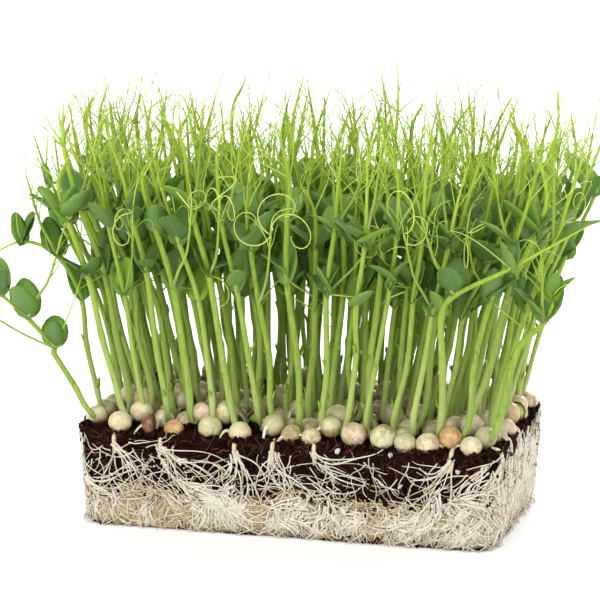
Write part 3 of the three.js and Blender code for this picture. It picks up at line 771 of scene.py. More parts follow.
def place_stalk(shoot):
    plan = shoot["plan"]
    root = shoot["route"][2]

    def make(turn, size):
        azimuth = face_azimuth(shoot["start"], plan["stalk_face"]) + 0.8 * plan["stalk_turn"] + turn
        half = 0.5 * size * plan["stalk_length"]
        bend = towards(root, azimuth, 0.5, half)
        tip = towards(bend, azimuth, 0.3, half)
        found = balls_along([root, bend, tip], (1, STALK_RADIUS, 0.3))
        return {"azimuth": azimuth, "root": root, "bend": bend, "tip": tip, "balls": found}

    return first_clear(shoot, make)


def place_needle(shoot, face, n, stalk=None):
    plan = shoot["plan"]
    root = stalk["bend"] if stalk else shoot["route"][3]
    facing = face_azimuth(stalk["azimuth"] - TURN / 6 if stalk else shoot["start"], face)

    def make(turn, size):
        azimuth = facing + 0.8 * plan["needle_turns"][n] + turn
        tip = towards(root, azimuth, plan["needle_leans"][n], size * plan["needle_lengths"][n])
        return {"root": root, "tip": tip, "balls": balls_along([root, tip], (0.6, 0.2))}

    return first_clear(shoot, make)


def place_stand():
    tufts = []
    for row in range(0, SHOOT_ROWS, 2):
        for column in range(0, SHOOT_COLUMNS, 2):
            shoots = []
            for n, (right, back, facing) in enumerate(CHAIN):
                shoots.append(place_shoot(column + right, row + back, facing))
                if n:
                    ends = [shoots[n - 1]["route"][1], shoots[n]["route"][1]]
                    balls.keep(balls_along(ends, (1, 1)), shoots[n - 1]["name"], False)
            tufts.append({"name": f"shoots_row{row // 2 + 1}_tuft{column // 2 + 1}", "shoots": shoots})
    shoots = [shoot for tuft in tufts for shoot in tuft["shoots"]]
    for shoot in shoots:
        shoot["stalk"], shoot["leaves"] = place_stalk(shoot), []
    for n, joint, face, step in LEAF_ORDER:
        for shoot in shoots:
            shoot["leaves"].append(place_leaf(shoot, joint, (shoot["plan"][face] + step) % 3, n))
    for shoot in shoots:
        face = shoot["plan"]["first_leaf_face"]
        shoot["needles"] = [place_needle(shoot, face, 0), place_needle(shoot, (face + 1) % 3, 1)]
        if shoot["stalk"]:
            shoot["needles"].append(place_needle(shoot, shoot["plan"]["stalk_face"], 2, shoot["stalk"]))
    return tufts


# Leaves, stems and tendrils as fine meshes

LEAF, STEM, TENDRIL = 0, 1, 2
STEM_POINTS = 34
STALK_POINTS = 12
TENDRIL_POINTS = 10
COIL_POINTS = 22
COIL_HEIGHT = 134
LEAF_TOP = 142
LEAF_SLACK = 0.35
ERECT_LEAVES = 3
STEM_PROFILE = np.array([0.9, 1.25, 1.38, 1.36, 1.3, 1.22, 1.02, 0.72, 0.2])


def leaf_template(steps, splits):
    """A leaf's grid: shares of its length and half width, which skin each point is on, and the faces.
    The two skins are joined at the rim."""
    rise = (1 - np.cos(np.linspace(0, math.pi, steps))) / 2
    t, s = np.meshgrid(rise, np.linspace(-1, 1, splits + 1), indexing="ij")
    upper = np.arange(t.size).reshape(t.shape)
    lower = upper.copy()
    inner = (steps - 2) * (splits - 1)
    lower[1:-1, 1:-1] = t.size + np.arange(inner).reshape(steps - 2, splits - 1)

    def quads(grid):
        return np.stack([grid[:-1, :-1], grid[1:, :-1], grid[1:, 1:], grid[:-1, 1:]], axis=-1).reshape(-1, 4)

    faces = np.concatenate([quads(upper), quads(lower)[:, ::-1]])
    skin = np.concatenate([np.zeros(t.size), np.ones(inner)])
    t = np.concatenate([t.ravel(), t[1:-1, 1:-1].ravel()])
    s = np.concatenate([s.ravel(), s[1:-1, 1:-1].ravel()])
    return t, s, skin, faces


BROAD_LEAF = leaf_template(8, 4)
SMALL_LEAF = leaf_template(4, 2)


def add_leaf(heap, leaf, width, young=0.0, fold=None, droop=None, template=BROAD_LEAF, slot=LEAF):
    """A clasping leaf: its base reaches a little below its root, and its halves fold up from the midrib."""
    t, s, skin, faces = template
    along, across, up = leaf_axes(leaf["azimuth"], leaf["rise"])
    length = leaf["length"]
    fold = rng.uniform(0.1, 0.45) if fold is None else fold
    droop = rng.uniform(-0.22, 0.2) if droop is None else droop
    half = (0.04 + 1.95 * t**0.42 * (1 - t) ** 0.64) * width * length / 2
    edge = np.abs(s)
    depth = rng.uniform(0.008, 0.035) * length
    wave = depth * np.sin(t * rng.uniform(6, 10) + rng.uniform(0, TURN) + 1.2 * s)
    lift = fold * half * edge**1.4 - droop * length * t**2.2 + wave * edge**1.5
    rim = (edge > 0.999) | (t < 1e-3) | (t > 0.999)
    thick = np.where(rim, 0, np.where(skin == 1, -0.15, 0.15))
    side = s * half * math.cos(0.6 * fold) + rng.uniform(-0.08, 0.08) * length * t**2
    points = (
        leaf["root"]
        + along * ((1.12 * t - 0.12) * length)[:, None]
        + across * side[:, None]
        + up * (lift + thick)[:, None]
    )
    looks = np.stack(np.broadcast_arrays(rng.beta(1.6, 2.0), skin, young, t), axis=1)
    heap.add(points, [faces], slot, looks, np.stack([s / 2 + 0.5, t], axis=1))


def youth(chance, most):
    """How young a leaf is: by this chance clearly so, and otherwise this much at most."""
    return rng.uniform(0.5, 1.0) if rng.uniform() < chance else rng.uniform(0, most)


def grow_leaf(heap, shoot, leaf, width, young):
    """Adds a leaf where it has room. It may come nearer to its neighbours than the solid leaves do."""
    found = leaf_balls(leaf["root"], leaf["azimuth"], leaf["rise"], leaf["length"])
    found[:, 3] *= LEAF_SLACK
    if not balls.clear(found, shoot["name"]):
        return False
    balls.keep(found, shoot["name"], False)
    add_leaf(heap, leaf, width, young)
    return True


class Tendrils:
    """Tendrils gathered for one heap. Each is added by its start and direction, and forks as it grows.
    A row is its start, direction, length, bend, curl, wave, radius and tint."""

    def __init__(self):
        self.rows = []

    def add(self, start, way, length, radius=0.26, play=1.0):
        """The play is how freely it bends and curls."""
        kind = rng.uniform()
        if kind < (0.4 if start[2] < COIL_HEIGHT else 0.12):
            curl, length = rng.uniform(2, 4), 1.3 * length
        else:
            curl = rng.uniform(0, 1.2)
        bend, wave = rng.uniform(-1.1, 1.1), rng.uniform(0.1, 1.3)
        curl *= play * rng.choice([-1, 1])
        self.rows.append((*start, *way, length, play * bend, curl, wave, radius, rng.uniform()))

    def add_pairs(self, path, reach, pairs):
        """Opposite pairs along the end of a stalk, and one more at its tip."""
        last = len(path) - 1
        side = unit(np.cross(path[-1] - path[-2], rng.normal(size=3)))
        for share in np.linspace(1 - 0.17 * pairs, 0.88, pairs):
            i = int(share * last)
            along = unit(path[i + 1] - path[i])
            for sign in (-1, 1):
                lean = rng.uniform(0.3, 0.8)
                way = along * math.cos(lean) + sign * side * math.sin(lean) + (0, 0, 0.2)
                self.add(path[i], way, reach * rng.uniform(0.6, 1.0))
            side = unit(side + rng.uniform(-0.8, 0.8) * np.cross(along, side))
        self.add(path[-1], unit(path[-1] - path[-2]), reach * rng.uniform(0.8, 1.2), 0.3)

    def make(self, heap, low, high):
        rows = np.array(self.rows, float)
        share = np.linspace(0, 1, TENDRIL_POINTS)[None]
        for fork_share in (0.1, 0.05, 0):
            paths = curved_paths(rows[:, 0:3], rows[:, 3:6], *rows[:, 6:10].T, TENDRIL_POINTS)
            inside = np.all((paths > low) & (paths < high), axis=(1, 2))
            paths, rows = paths[inside], rows[inside]
            add_tubes(heap, paths, rows[:, 10:11] * (1 - 0.6 * share), 3, TENDRIL, tinted(rows[:, 11]))
            rows = fork(paths, rows, fork_share)


def fork(paths, rows, share):
    """The side branches of tendrils, each leaving at a slant."""
    picks = np.repeat(np.arange(len(paths)), 2)
    picks = picks[rng.uniform(size=len(picks)) < share]
    at = rng.integers(2, 7, len(picks))
    way = unit(paths[picks, at + 1] - paths[picks, at - 1])
    side = unit(np.cross(way, rng.normal(size=way.shape)))
    lean = rng.uniform(0.3, 0.6, len(picks))[:, None]
    made = rows[picks].copy()
    made[:, 0:3] = paths[picks, at]
    made[:, 3:6] = way * np.cos(lean) + side * np.sin(lean)
    made[:, 6] *= rng.uniform(0.4, 0.75, len(picks))
    made[:, 7] = rng.uniform(-0.8, 0.8, len(picks))
    made[:, 8] *= rng.choice([0, 0.5, 1], len(picks))
    made[:, 10] *= 0.8
    return made


def stem_points(shoot, peas):
    """The stem's route from its pea: a hooked foot, two small bends at the scale leaves, then the joints."""
    route = shoot["route"]
    foot = np.array([route[0][0], route[0][1], BED_TOP])
    pea = peas[np.argmin(np.linalg.norm(peas[:, :2] - foot[:2], axis=1))]
    inner = lerp(foot, pea, 0.8)
    inner[2] = pea[2] - 0.5
    hook = lerp(foot, pea, 0.25)
    hook[2] = BED_TOP + 2.4
    nodes = []
    for height in (rng.uniform(11, 16), rng.uniform(29, 37)):
        share = height / (route[1][2] - BED_TOP)
        nodes.append(lerp(foot, route[1], share) + np.array([*rng.uniform(-1.6, 1.6, 2), 0]))
    rise = lerp(foot, nodes[0], 0.5)
    return [inner, hook, rise, *nodes, *route[1:]], nodes


def add_stem(heap, shoot, peas, girth):
    points, nodes = stem_points(shoot, peas)
    path = through(points, STEM_POINTS)
    knots = np.cumsum([0, *np.linalg.norm(np.diff(points, axis=0), axis=1)])
    knots = knots / knots[-1]
    marks = np.linspace(0, 1, STEM_POINTS)
    radii = np.interp(marks, knots, girth * STEM_PROFILE)
    for joint in knots[3:8]:
        radii = radii * (1 + 0.15 * np.exp(-(((marks - joint) / 0.018) ** 2)))
    add_tubes(heap, path[None], radii[None], 8, STEM, (rng.uniform(), 0, 0, 0))
    for node in nodes:
        add_scale_leaf(heap, node, girth)


def add_scale_leaf(heap, node, girth):
    """A small three-pointed scale leaf that clasps the stem."""
    azimuth = rng.uniform(0, TURN)
    out = level_way(azimuth)
    for turn, size in ((0, 1.0), (0.8, 0.75), (-0.8, 0.75)):
        leaf = {
            "root": node + out * girth * 0.9,
            "azimuth": azimuth + turn,
            "rise": rng.uniform(0.95, 1.3),
            "length": size * rng.uniform(4, 6.5),
        }
        add_leaf(heap, leaf, 0.4, fold=0.5, droop=-0.15, template=SMALL_LEAF, slot=STEM)


def add_stalk(heap, tendrils, points, girth, reach, pairs):
    root, bend, tip = points
    path = through([root, lerp(root, bend, 0.5) + rng.uniform(-0.7, 0.7, 3), bend, tip], STALK_POINTS)
    radii = np.interp(np.linspace(0, 1, STALK_POINTS), [0, 0.5, 1], [0.86 * girth, 0.66 * girth, 0.4])
    add_tubes(heap, path[None], radii[None], 6, STEM, (rng.uniform(), 0, 0, 0))
    tendrils.add_pairs(path, reach, pairs)


def add_shoot(heap, tendrils, shoot, peas):
    girth = rng.uniform(0.76, 1.08)
    route = shoot["route"]
    add_stem(heap, shoot, peas, girth)
    for leaf in filter(None, shoot["leaves"]):
        young = youth(0.12, 0.2)
        add_leaf(heap, leaf, rng.uniform(0.62, 0.8), young)
    if shoot["stalk"]:
        stalk = shoot["stalk"]
        add_stalk(heap, tendrils, (stalk["root"], stalk["bend"], stalk["tip"]), girth, rng.uniform(12, 24), 2)
    for needle in filter(None, shoot["needles"]):
        way = needle["tip"] - needle["root"]
        tendrils.add(needle["root"], unit(way), np.linalg.norm(way), 0.31, play=0.5)
    top = lerp(route[3], route[4], 0.5)
    for lean in (0.1, 0.5) if rng.uniform() < 0.25 else (0.3,):
        way = unit(unit(route[4] - route[3]) + lean * unit(rng.normal(size=3)))
        tendrils.add(top, way, rng.uniform(10, 20), 0.28)
    add_low_stalk(heap, tendrils, shoot, girth)
    for joint, tries, size in ((2, 20, 1.08), (1, 18, 0.9), (3, 8, 0.8)):
        grow_erect_leaves(heap, shoot, joint, tries, size)


def grow_erect_leaves(heap, shoot, joint, tries, size):
    """Up to three leaves that stand nearly upright beside a joint."""
    grown = 0
    for _ in range(tries):
        leaf = {
            "root": shoot["route"][joint] + np.array([0, 0, rng.uniform(-1, 1)]),
            "azimuth": rng.uniform(0, TURN),
            "rise": rng.uniform(0.85, 1.3),
            "length": size * rng.uniform(12.5, 18.5),
        }
        if leaf["root"][2] + leaf["length"] > LEAF_TOP:
            continue
        young = youth(0.14, 0.25)
        grown += grow_leaf(heap, shoot, leaf, rng.uniform(0.6, 0.78), young)
        if grown == ERECT_LEAVES:
            break


def add_low_stalk(heap, tendrils, shoot, girth):
    """The thinner leaf stalk of the lower joint, where there is room for one."""
    root = shoot["route"][1]
    way = unit(shoot["route"][2] - root)
    for _ in range(6):
        azimuth = rng.uniform(0, TURN)
        out = level_way(azimuth)
        reach = rng.uniform(16, 25)
        bend = root + way * reach * 0.75 + 0.62 * reach * out
        tip = bend + way * reach * 0.8 + 0.4 * reach * out
        found = balls_along([root, bend, tip], (0.3, 0.2, 0.1))
        if balls.clear(found, shoot["name"]):
            balls.keep(found, shoot["name"], False)
            add_stalk(heap, tendrils, (root, bend, tip), 0.8 * girth, rng.uniform(13, 22), 1)
            add_coils(heap, tip)
            return


def add_coils(heap, root):
    """Two or three pale tendrils from a leaf stalk's end, which wind in open loops."""
    count = rng.integers(2, 4)
    way = rng.normal(size=(count, 3)) + (0, 0, 0.3)
    length, bend = rng.uniform(26, 44, count), rng.uniform(3, 6, count)
    curl, wave = rng.uniform(1, 2.5, count), rng.uniform(0, 1, count)
    paths = curved_paths(np.repeat(root[None], count, axis=0), way, length, bend, curl, wave, COIL_POINTS)
    looks = tinted(rng.uniform(0.6, 1, count))
    inside = np.all((paths > LOW) & (paths < HIGH), axis=(1, 2))
    add_tubes(heap, paths[inside], np.linspace(0.34, 0.2, COIL_POINTS)[None], 3, TENDRIL, looks[inside])


def add_hold(tendrils, one, other):
    """A tendril from one stem that grows towards its neighbour."""
    start, end = one["route"][1], other["route"][1]
    way = end - start
    tendrils.add(start, unit(way + np.array([0, 0, 4.0])), 1.25 * np.linalg.norm(way), 0.45)


def make_tufts(tufts, peas, materials):
    for tuft in tufts:
        heap = Heap()
        tendrils = Tendrils()
        for shoot in tuft["shoots"]:
            add_shoot(heap, tendrils, shoot, peas)
        for one, other in zip(tuft["shoots"], tuft["shoots"][1:]):
            add_hold(tendrils, one, other)
        tendrils.make(heap, LOW - 1, HIGH + 2)
        show(heap, "leafy_" + tuft["name"], materials, tuft["name"])


# The soil, with its crumbs, fibres and perlite

BLOCK_AROUND = 560
SIDE_CRUMBS = 5200
TOP_CRUMBS = 1100
RIM_CRUMBS = 1300
FOOT_CRUMBS = 1000
FOOT_DRIFTS = 60
FIBRES = 2000
PERLITE_GRAINS = 110


def add_block(heap, levels, push):
    """A closed rounded block through levels of (height, growth), with its skin pushed by a field."""
    z, out = np.array(levels, float).T[..., None]
    points, outward = beside(np.arange(BLOCK_AROUND) / BLOCK_AROUND, z, out)
    index = np.arange(len(levels) * BLOCK_AROUND).reshape(-1, BLOCK_AROUND)
    beyond = np.roll(index, -1, axis=1)
    quads = np.stack([index[:-1], beyond[:-1], beyond[1:], index[1:]], axis=-1).reshape(-1, 4)
    faces = [quads, index[0][::-1][None], index[-1][None]]
    heap.add(points + outward * push(points)[..., None], faces, 0, (rng.uniform(), 0, 0, 0))


def ball_template(rings, sides):
    """A small closed ball of few faces, with its poles up and down."""
    t = np.arange(1, rings) / rings * math.pi
    a = np.arange(sides) / sides * TURN
    x, y = np.outer(np.sin(t), np.cos(a)), np.outer(np.sin(t), np.sin(a))
    z = np.broadcast_to(np.cos(t)[:, None], x.shape)
    points = np.concatenate([np.stack([x, y, z], axis=-1).reshape(-1, 3), [[0, 0, 1], [0, 0, -1]]])
    n = np.arange(sides)
    m = (n + 1) % sides
    first = (np.arange(rings - 2) * sides)[:, None]
    quads = np.stack([first + n, first + sides + n, first + sides + m, first + m], axis=-1).reshape(-1, 4)
    last = (rings - 2) * sides
    top = np.stack([n, m, np.full(sides, len(points) - 2)], axis=-1)
    bottom = np.stack([last + m, last + n, np.full(sides, len(points) - 1)], axis=-1)
    return points, quads, np.concatenate([top, bottom])


def random_turns(count):
    turns = np.linalg.qr(rng.normal(size=(count, 3, 3)))[0]
    return turns * np.sign(np.linalg.det(turns))[:, None, None]


def add_lumps(heap, centres, sizes, tints, rings=3, sides=4, rough=0.35):
    """Irregular lumps, each stretched and turned its own way."""
    ball, quads, tris = ball_template(rings, sides)
    count = len(centres)
    turns = random_turns(count)
    stretch = rng.uniform(1 - rough, 1 + rough, (count, 1, 3))
    knock = 1 + rng.uniform(-rough, rough, (count, len(ball), 1)) * 0.5
    points = np.einsum("kij,kpj->kpi", turns, ball * stretch * knock) * sizes[:, None, None]
    offset = (np.arange(count) * len(ball))[:, None, None]
    faces = [(quads + offset).reshape(-1, 4), (tris + offset).reshape(-1, 3)]
    heap.add(points + centres[:, None], faces, 0, np.repeat(tinted(tints), len(ball), axis=0))


def scatter(heights, low, high):
    """Random places round the block at these heights, between low and high out from its face."""
    count = len(heights)
    return beside(rng.uniform(0, 1, count), heights, rng.uniform(low, high, count))[0]


def soil_push(points):
    return 0.7 * coarse.at(points) + 0.8 * middling.at(points) + 0.9 * fine.at(points) - 0.3


def add_soil(heap):
    """The block, with crumbs on its sides, its top and its rim, and drifts of them at its foot."""
    levels = [(4.5, -3.3), (11, -2.2)] + [(z, -0.1) for z in np.linspace(12, BED_TOP - 0.8, 27)]
    add_block(heap, levels + [(BED_TOP + 0.2, -1.8)], soil_push)

    count = SIDE_CRUMBS
    centres = scatter(BED_TOP + 0.6 - 27 * rng.uniform(0, 1, count), -0.7, 0.7)
    sizes = rng.gamma(2.4, 0.2, count).clip(0.2, 1.4)
    add_lumps(heap, centres, sizes, rng.uniform(0, 1, count))

    count = TOP_CRUMBS
    x, y = rng.uniform(-78, 78, count), rng.uniform(-41, 41, count)
    centres = np.column_stack([x, y, BED_TOP + rng.uniform(-0.4, 1.4, count)])
    add_lumps(heap, centres, rng.uniform(0.6, 1.9, count), rng.uniform(0, 1, count))

    count = RIM_CRUMBS
    centres = scatter(BED_TOP + rng.uniform(-1, 0.5, count), -4, 0.2)
    add_lumps(heap, centres, rng.uniform(0.5, 1.3, count), rng.uniform(0, 1, count))

    count = FOOT_CRUMBS
    heights = 0.35 + 2.6 * rng.uniform(0, 1, count) ** 2
    drift = rng.uniform(0, 1, FOOT_DRIFTS)[rng.integers(0, FOOT_DRIFTS, count)]
    share = drift + rng.normal(0, 0.006, count)
    centres, _ = beside(share, heights, rng.uniform(-1.4, 1.8, count) - 0.3)
    sizes = rng.uniform(0.2, 0.7, count)
    centres[:, 2] = np.maximum(centres[:, 2], 1.3 * sizes)
    add_lumps(heap, centres, sizes, rng.uniform(0, 0.6, count))


def add_fibres(heap):
    """Short curved fibres that lie along the soil's face or stand a little out of it."""
    count = FIBRES
    share, heights = rng.uniform(0, 1, count), rng.uniform(14, BED_TOP + 1, count)
    start, outward = beside(share, heights, rng.uniform(-0.2, 0.8, count))
    sideways = np.stack([-outward[:, 1], outward[:, 0], np.zeros(count)], axis=1)
    tilt = rng.normal(0, 0.9, count)
    way = sideways * np.cos(tilt)[:, None] + np.array([0, 0, 1.0]) * np.sin(tilt)[:, None]
    way = way * rng.choice([-1, 1], count)[:, None] + outward * rng.uniform(-0.1, 0.25, count)[:, None]
    length, bend = rng.uniform(2, 7, count), rng.normal(0, 0.9, count)
    curl, wave = rng.normal(0, 0.4, count), rng.uniform(0, 2.5, count)
    paths = curved_paths(start, way, length, bend, curl, wave, 6)
    looks = tinted(rng.uniform(0, 1, count))
    add_tubes(heap, paths, rng.uniform(0.05, 0.13, (count, 1)), 3, 0, looks)


def add_perlite(heap):
    count = PERLITE_GRAINS
    centres = scatter(rng.uniform(17, BED_TOP, count), -0.2, 0.6)
    sizes = rng.gamma(2.0, 0.26, count).clip(0.25, 1.1)
    add_lumps(heap, centres, sizes, np.ones(count), 4, 6, 0.5)


# The roots

MAT_AROUND = 510
ROOT_POINTS = 12
ROOTS_DOWN = -TURN / 4
INNER_STRANDS = 1250
OUTER_STRANDS = 1500
OUTER_BUNDLES = 130
ROOT_TIPS = 260
FRINGE_ROOTS = 420
FINE_CLIMBERS = 640
LONG_CLIMBERS = 150
CROWNS = (-62, -43, -13, 19, 73)
OTHER_CROWNS = 20
sweep = Field(5, 15.0)


def mat_edge(share):
    """The height that the mat's upper edge wanders at."""
    from_right = np.minimum(share % 1, 1 - share % 1)
    right = 9 * np.exp(-((from_right / 0.07) ** 4))
    return MAT_HEIGHT + right + 2 * np.sin(share * TURN * 9 + 0.8) + 1.6 * np.sin(share * TURN * 17 + 2)


def face_paths(share, z, out, heading, length, wander, flow, bend=0, count=ROOT_POINTS):
    """Paths over the block's face. The heading is a slope from level, which turns by the bend on the way,
    and flow is how much of it a shared field sets, so that neighbours run side by side."""
    s, h = share * MAT_AROUND, z
    phase = rng.uniform(0, TURN, len(share))
    rate = rng.uniform(0.3, 0.8, len(share))
    shares, heights = [s / MAT_AROUND], [h]
    step = length / (count - 1)
    for i in range(1, count):
        field = sweep.at(np.stack([s, 1.6 * h, 0 * s], axis=-1))
        turn = heading + bend * i / count + flow * field + wander * np.sin(phase + rate * i)
        s = s + step * np.cos(turn)
        h = h + step * np.sin(turn)
        shares.append(s / MAT_AROUND)
        heights.append(h)
    shares, heights = np.array(shares).T, np.array(heights).T
    depth = out[:, None] + 0.35 * np.sin(np.linspace(0, 5, count)[None] + phase[:, None])
    floor = 0.45 + 0.5 * rng.uniform(size=(len(share), 1))
    depth = depth - 0.7 * np.clip(2.2 - heights, 0, 2.2)
    points, _ = beside(shares, np.clip(heights, floor, BED_TOP + 0.5), depth)
    return points


def add_strands(heap, paths, radius, tints):
    taper = np.linspace(1.1, 0.5, paths.shape[1])[None]
    add_tubes(heap, paths, np.reshape(radius, (-1, 1)) * taper, 4, 0, tinted(tints))


def felt_push(points):
    return 0.5 * middling.at(points) + 0.3 * fine.at(points) - 0.2


def add_felt(heap):
    levels = [(0.35, -2.0), (0.8, -0.8), (2.2, 0.0)] + [(z, 0.25) for z in np.linspace(3.5, 15.5, 13)]
    add_block(heap, levels + [(17, -2)], felt_push)


def add_inner_strands(heap):
    """The mat's own roots, which run close to the block in long slanting sweeps, darkened with painted shade
    because they lie deep in the mat.
    """
    count = INNER_STRANDS
    share = rng.uniform(0, 1, count)
    z = mat_edge(share) * rng.uniform(0, 1, count) ** 1.15
    heading = rng.normal(-0.7, 0.3, count) + math.pi * (rng.uniform(size=count) < 0.45)
    out = 0.1 + rng.uniform(0, 0.6, count)
    length, wander = rng.uniform(14, 40, count), rng.uniform(0.2, 0.9, count)
    paths = face_paths(share, z, out, heading, length, wander, 1.7)
    paths = paths[paths[..., 2].max(1) < mat_edge(share) + 4]
    count = len(paths)
    # Painted shade: the low tints (0 to 0.35) darken these strands, which lie deep under the outer ones.
    add_strands(heap, paths, 0.36 * rng.uniform(0.6, 1.35, count), 0.35 * rng.uniform(size=count))


def add_outer_strands(heap):
    """Roots that run down over the mat in bundles."""
    count, bundles = OUTER_STRANDS, OUTER_BUNDLES
    bundle = rng.integers(0, bundles, count)
    share = rng.uniform(0, 1, bundles)[bundle] + rng.normal(0, 0.0036, count)
    z = mat_edge(share) * rng.uniform(0.35, 1.15, bundles)[bundle] + rng.normal(0, 1.2, count)
    z = z.clip(3)
    lean = rng.normal(0, 0.75, bundles)[bundle] + rng.normal(0, 0.24, count)
    bend = rng.normal(0, 0.8, bundles)[bundle] + rng.normal(0, 0.25, count)
    length = (z / np.cos(lean).clip(0.35) * rng.uniform(0.6, 1.15, count)).clip(6, 34)
    out = rng.uniform(0.6, 1.2, bundles)[bundle] + rng.uniform(0, 0.5, count)
    wander = rng.uniform(0.1, 0.6, count)
    paths = face_paths(share, z, out, lean + ROOTS_DOWN, length, wander, 0.7, bend)
    add_strands(heap, paths, 0.34 * rng.uniform(0.6, 1.35, count), rng.uniform(0.5, 1, count))


def add_root_tips(heap):
    """Roots that come out of the mat's foot and lie spread on the ground."""
    count = ROOT_TIPS
    share = rng.uniform(0, 1, count)
    start, _ = beside(share, rng.uniform(2, 6, count), 0.6)
    turn = rng.normal(0, 0.012, count)
    peak, _ = beside(share + 0.5 * turn, rng.uniform(1, 3.5, count), rng.uniform(0.8, 2.4, count))
    end, _ = beside(share + turn, rng.uniform(0.3, 0.6, count), rng.uniform(0.8, 4, count))
    looks = tinted(rng.uniform(0.2, 1, count))
    width = rng.uniform(0.2, 0.36, (count, 1)) * np.linspace(1.1, 0.6, 8)[None]
    add_tubes(heap, arches(start, peak, end, 8), width, 4, 0, looks)


def add_fringe(heap):
    """Short roots that hang freely down the mat's face."""
    count = FRINGE_ROOTS
    heading = rng.normal(-1.35, 0.45, count)
    z = rng.uniform(3, 16, count)
    out = rng.uniform(0.9, 1.7, count)
    share, length = rng.uniform(0, 1, count), z * rng.uniform(0.7, 1.2, count)
    paths = face_paths(share, z, out, heading, length, 0.3, 0.8, count=8)
    add_strands(heap, paths, rng.uniform(0.22, 0.42, count), rng.uniform(0.55, 1, count))


def add_climbing_roots(heap):
    """Roots that fan out from crowns under the peas, down the soil's face and into the mat, with fine
    ones all over the face and single long ones at the right-hand end and the left-hand one."""
    front = 1 - (BLOCK_DEPTH / 2 + BLOCK_LENGTH / 2 - np.array(CROWNS, float)) / MAT_AROUND
    others = rng.uniform(0, 1, OTHER_CROWNS)
    others = others[np.abs(others[:, None] - front[None]).min(1) > 0.02]
    rows = []
    for share in (*front, *others):
        strong = share in front or rng.uniform() < 0.3
        top = rng.uniform(34.5, 38.5) if strong else rng.uniform(28, 38.5)
        lean, bend = rng.normal(0, 0.3), rng.normal(0, 0.9)
        for _ in range(rng.integers(9, 17) if strong else rng.integers(1, 6)):
            heading = ROOTS_DOWN + lean + rng.normal(0, 0.26)
            start = share + rng.normal(0, 0.0016)
            sizes = rng.uniform(15, 38), rng.uniform(0.2, 0.44)
            rows.append((start, top - rng.uniform(0, 2), heading, *sizes, bend + rng.normal(0, 0.3)))
        if strong:
            add_crown(heap, share, top)
    for _ in range(FINE_CLIMBERS):
        heading = ROOTS_DOWN + rng.normal(0, 0.9)
        sizes = rng.uniform(7, 22), rng.uniform(0.14, 0.3)
        rows.append((rng.uniform(), 16 + 20 * rng.uniform() ** 1.5, heading, *sizes, rng.normal(0, 0.9)))
    for _ in range(LONG_CLIMBERS):
        start = rng.choice([rng.uniform(-0.1, 0.09), rng.uniform(-0.1, 0.09), rng.uniform(0.42, 0.58)])
        heading = ROOTS_DOWN + rng.normal(0, 0.2)
        sizes = rng.uniform(14, 34), rng.uniform(0.2, 0.42)
        rows.append((start, rng.uniform(29, 38.5), heading, *sizes, rng.normal(0, 0.4)))
    share, z, heading, length, radius, bend = np.array(rows).T
    count = len(rows)
    out, wander = rng.uniform(0.5, 1.2, count), rng.uniform(0.1, 0.5, count)
    paths = face_paths(share, z, out, heading, length, wander, 0.5, bend)
    add_strands(heap, paths, radius, rng.beta(2.4, 1.2, count))


def add_crown(heap, share, top):
    """The thick head that a fan of roots springs from, bent over the soil's edge."""
    height = np.array([top + 3.5, top + 2.6, top + 0.8, top - 2.5, top - 6])
    edge, _ = beside(share, height, np.array([-4.0, -1.2, 0.3, 0.6, 0.5]))
    path = through(edge, 10)
    radii = np.interp(np.linspace(0, 1, 10), [0, 0.3, 0.6, 1], [0.4, 1.0, 0.85, 0.3])
    add_tubes(heap, path[None], radii[None], 7, 0, (0.3, 0, 0, 0))


# The peas

PEA_KINDS = ((0.13, 0.08), (0.22, 0.13), (0.36, 0.17), (0.5, 0.22), (0.6, 0.16), (0.74, 0.14), (0.86, 0.1))
UPPER_PEAS = 34
RADICLES = 120
HULL_TINT = 1.0
GREEN_TINT = 0.0
# Peas that show along the front: x, y, height above the bed, radius, tint. One is split open.
SPLIT_PEA = 3
FRONT_PEAS = (
    (-68.3, -43.9, 2.3, 4.8, 0.5),
    (-61.5, -36.5, 5.4, 4.7, 0.46),
    (-54.9, -43.7, 2.3, 4.6, 1.0),
    (-36.0, -36.5, 6.6, 4.4, 0.72),
    (-26.5, -35.0, 6.8, 4.9, 0.36),
    (-31.0, -43.4, 2.3, 4.9, 0.28),
    (-6.0, -40.0, 4.0, 4.6, 0.22),
    (17.5, -39.0, 4.6, 4.6, 0.3),
    (27.7, -43.6, 3.2, 5.0, 0.7),
    (39.5, -43.4, 2.8, 5.2, 0.4),
    (66.0, -41.0, 3.6, 4.9, 0.88),
    (72.0, -30.0, 6.4, 5.0, 0.5),
    (79.0, -36.0, 3.5, 4.7, 0.16),
    (80.5, 4.0, 3.5, 4.7, 0.78),
    (80.5, 22.0, 3.0, 4.5, 0.66),
)


PEA_BALL = ball_template(10, 14)
dent = Field(9, 5.0)


def pea_places():
    """One pea at each crossing of a grid over the bed, with gaps here and there."""
    reach_x = BLOCK_LENGTH / 2 + PEA_OVERHANG - PEA_RADIUS
    reach_y = BLOCK_DEPTH / 2 + PEA_OVERHANG - PEA_RADIUS
    places = []
    for row in range(SHOOT_ROWS + 1):
        for column in range(SHOOT_COLUMNS + 1):
            corner = row % SHOOT_ROWS == 0 and column % SHOOT_COLUMNS == 0
            x = (2 * column / SHOOT_COLUMNS - 1) * reach_x
            y = (2 * row / SHOOT_ROWS - 1) * reach_y
            if not corner and rng.uniform() < 0.9:
                places.append((x, y, BED_TOP + rng.uniform(1.8, 5.4)))
    return np.array(places)


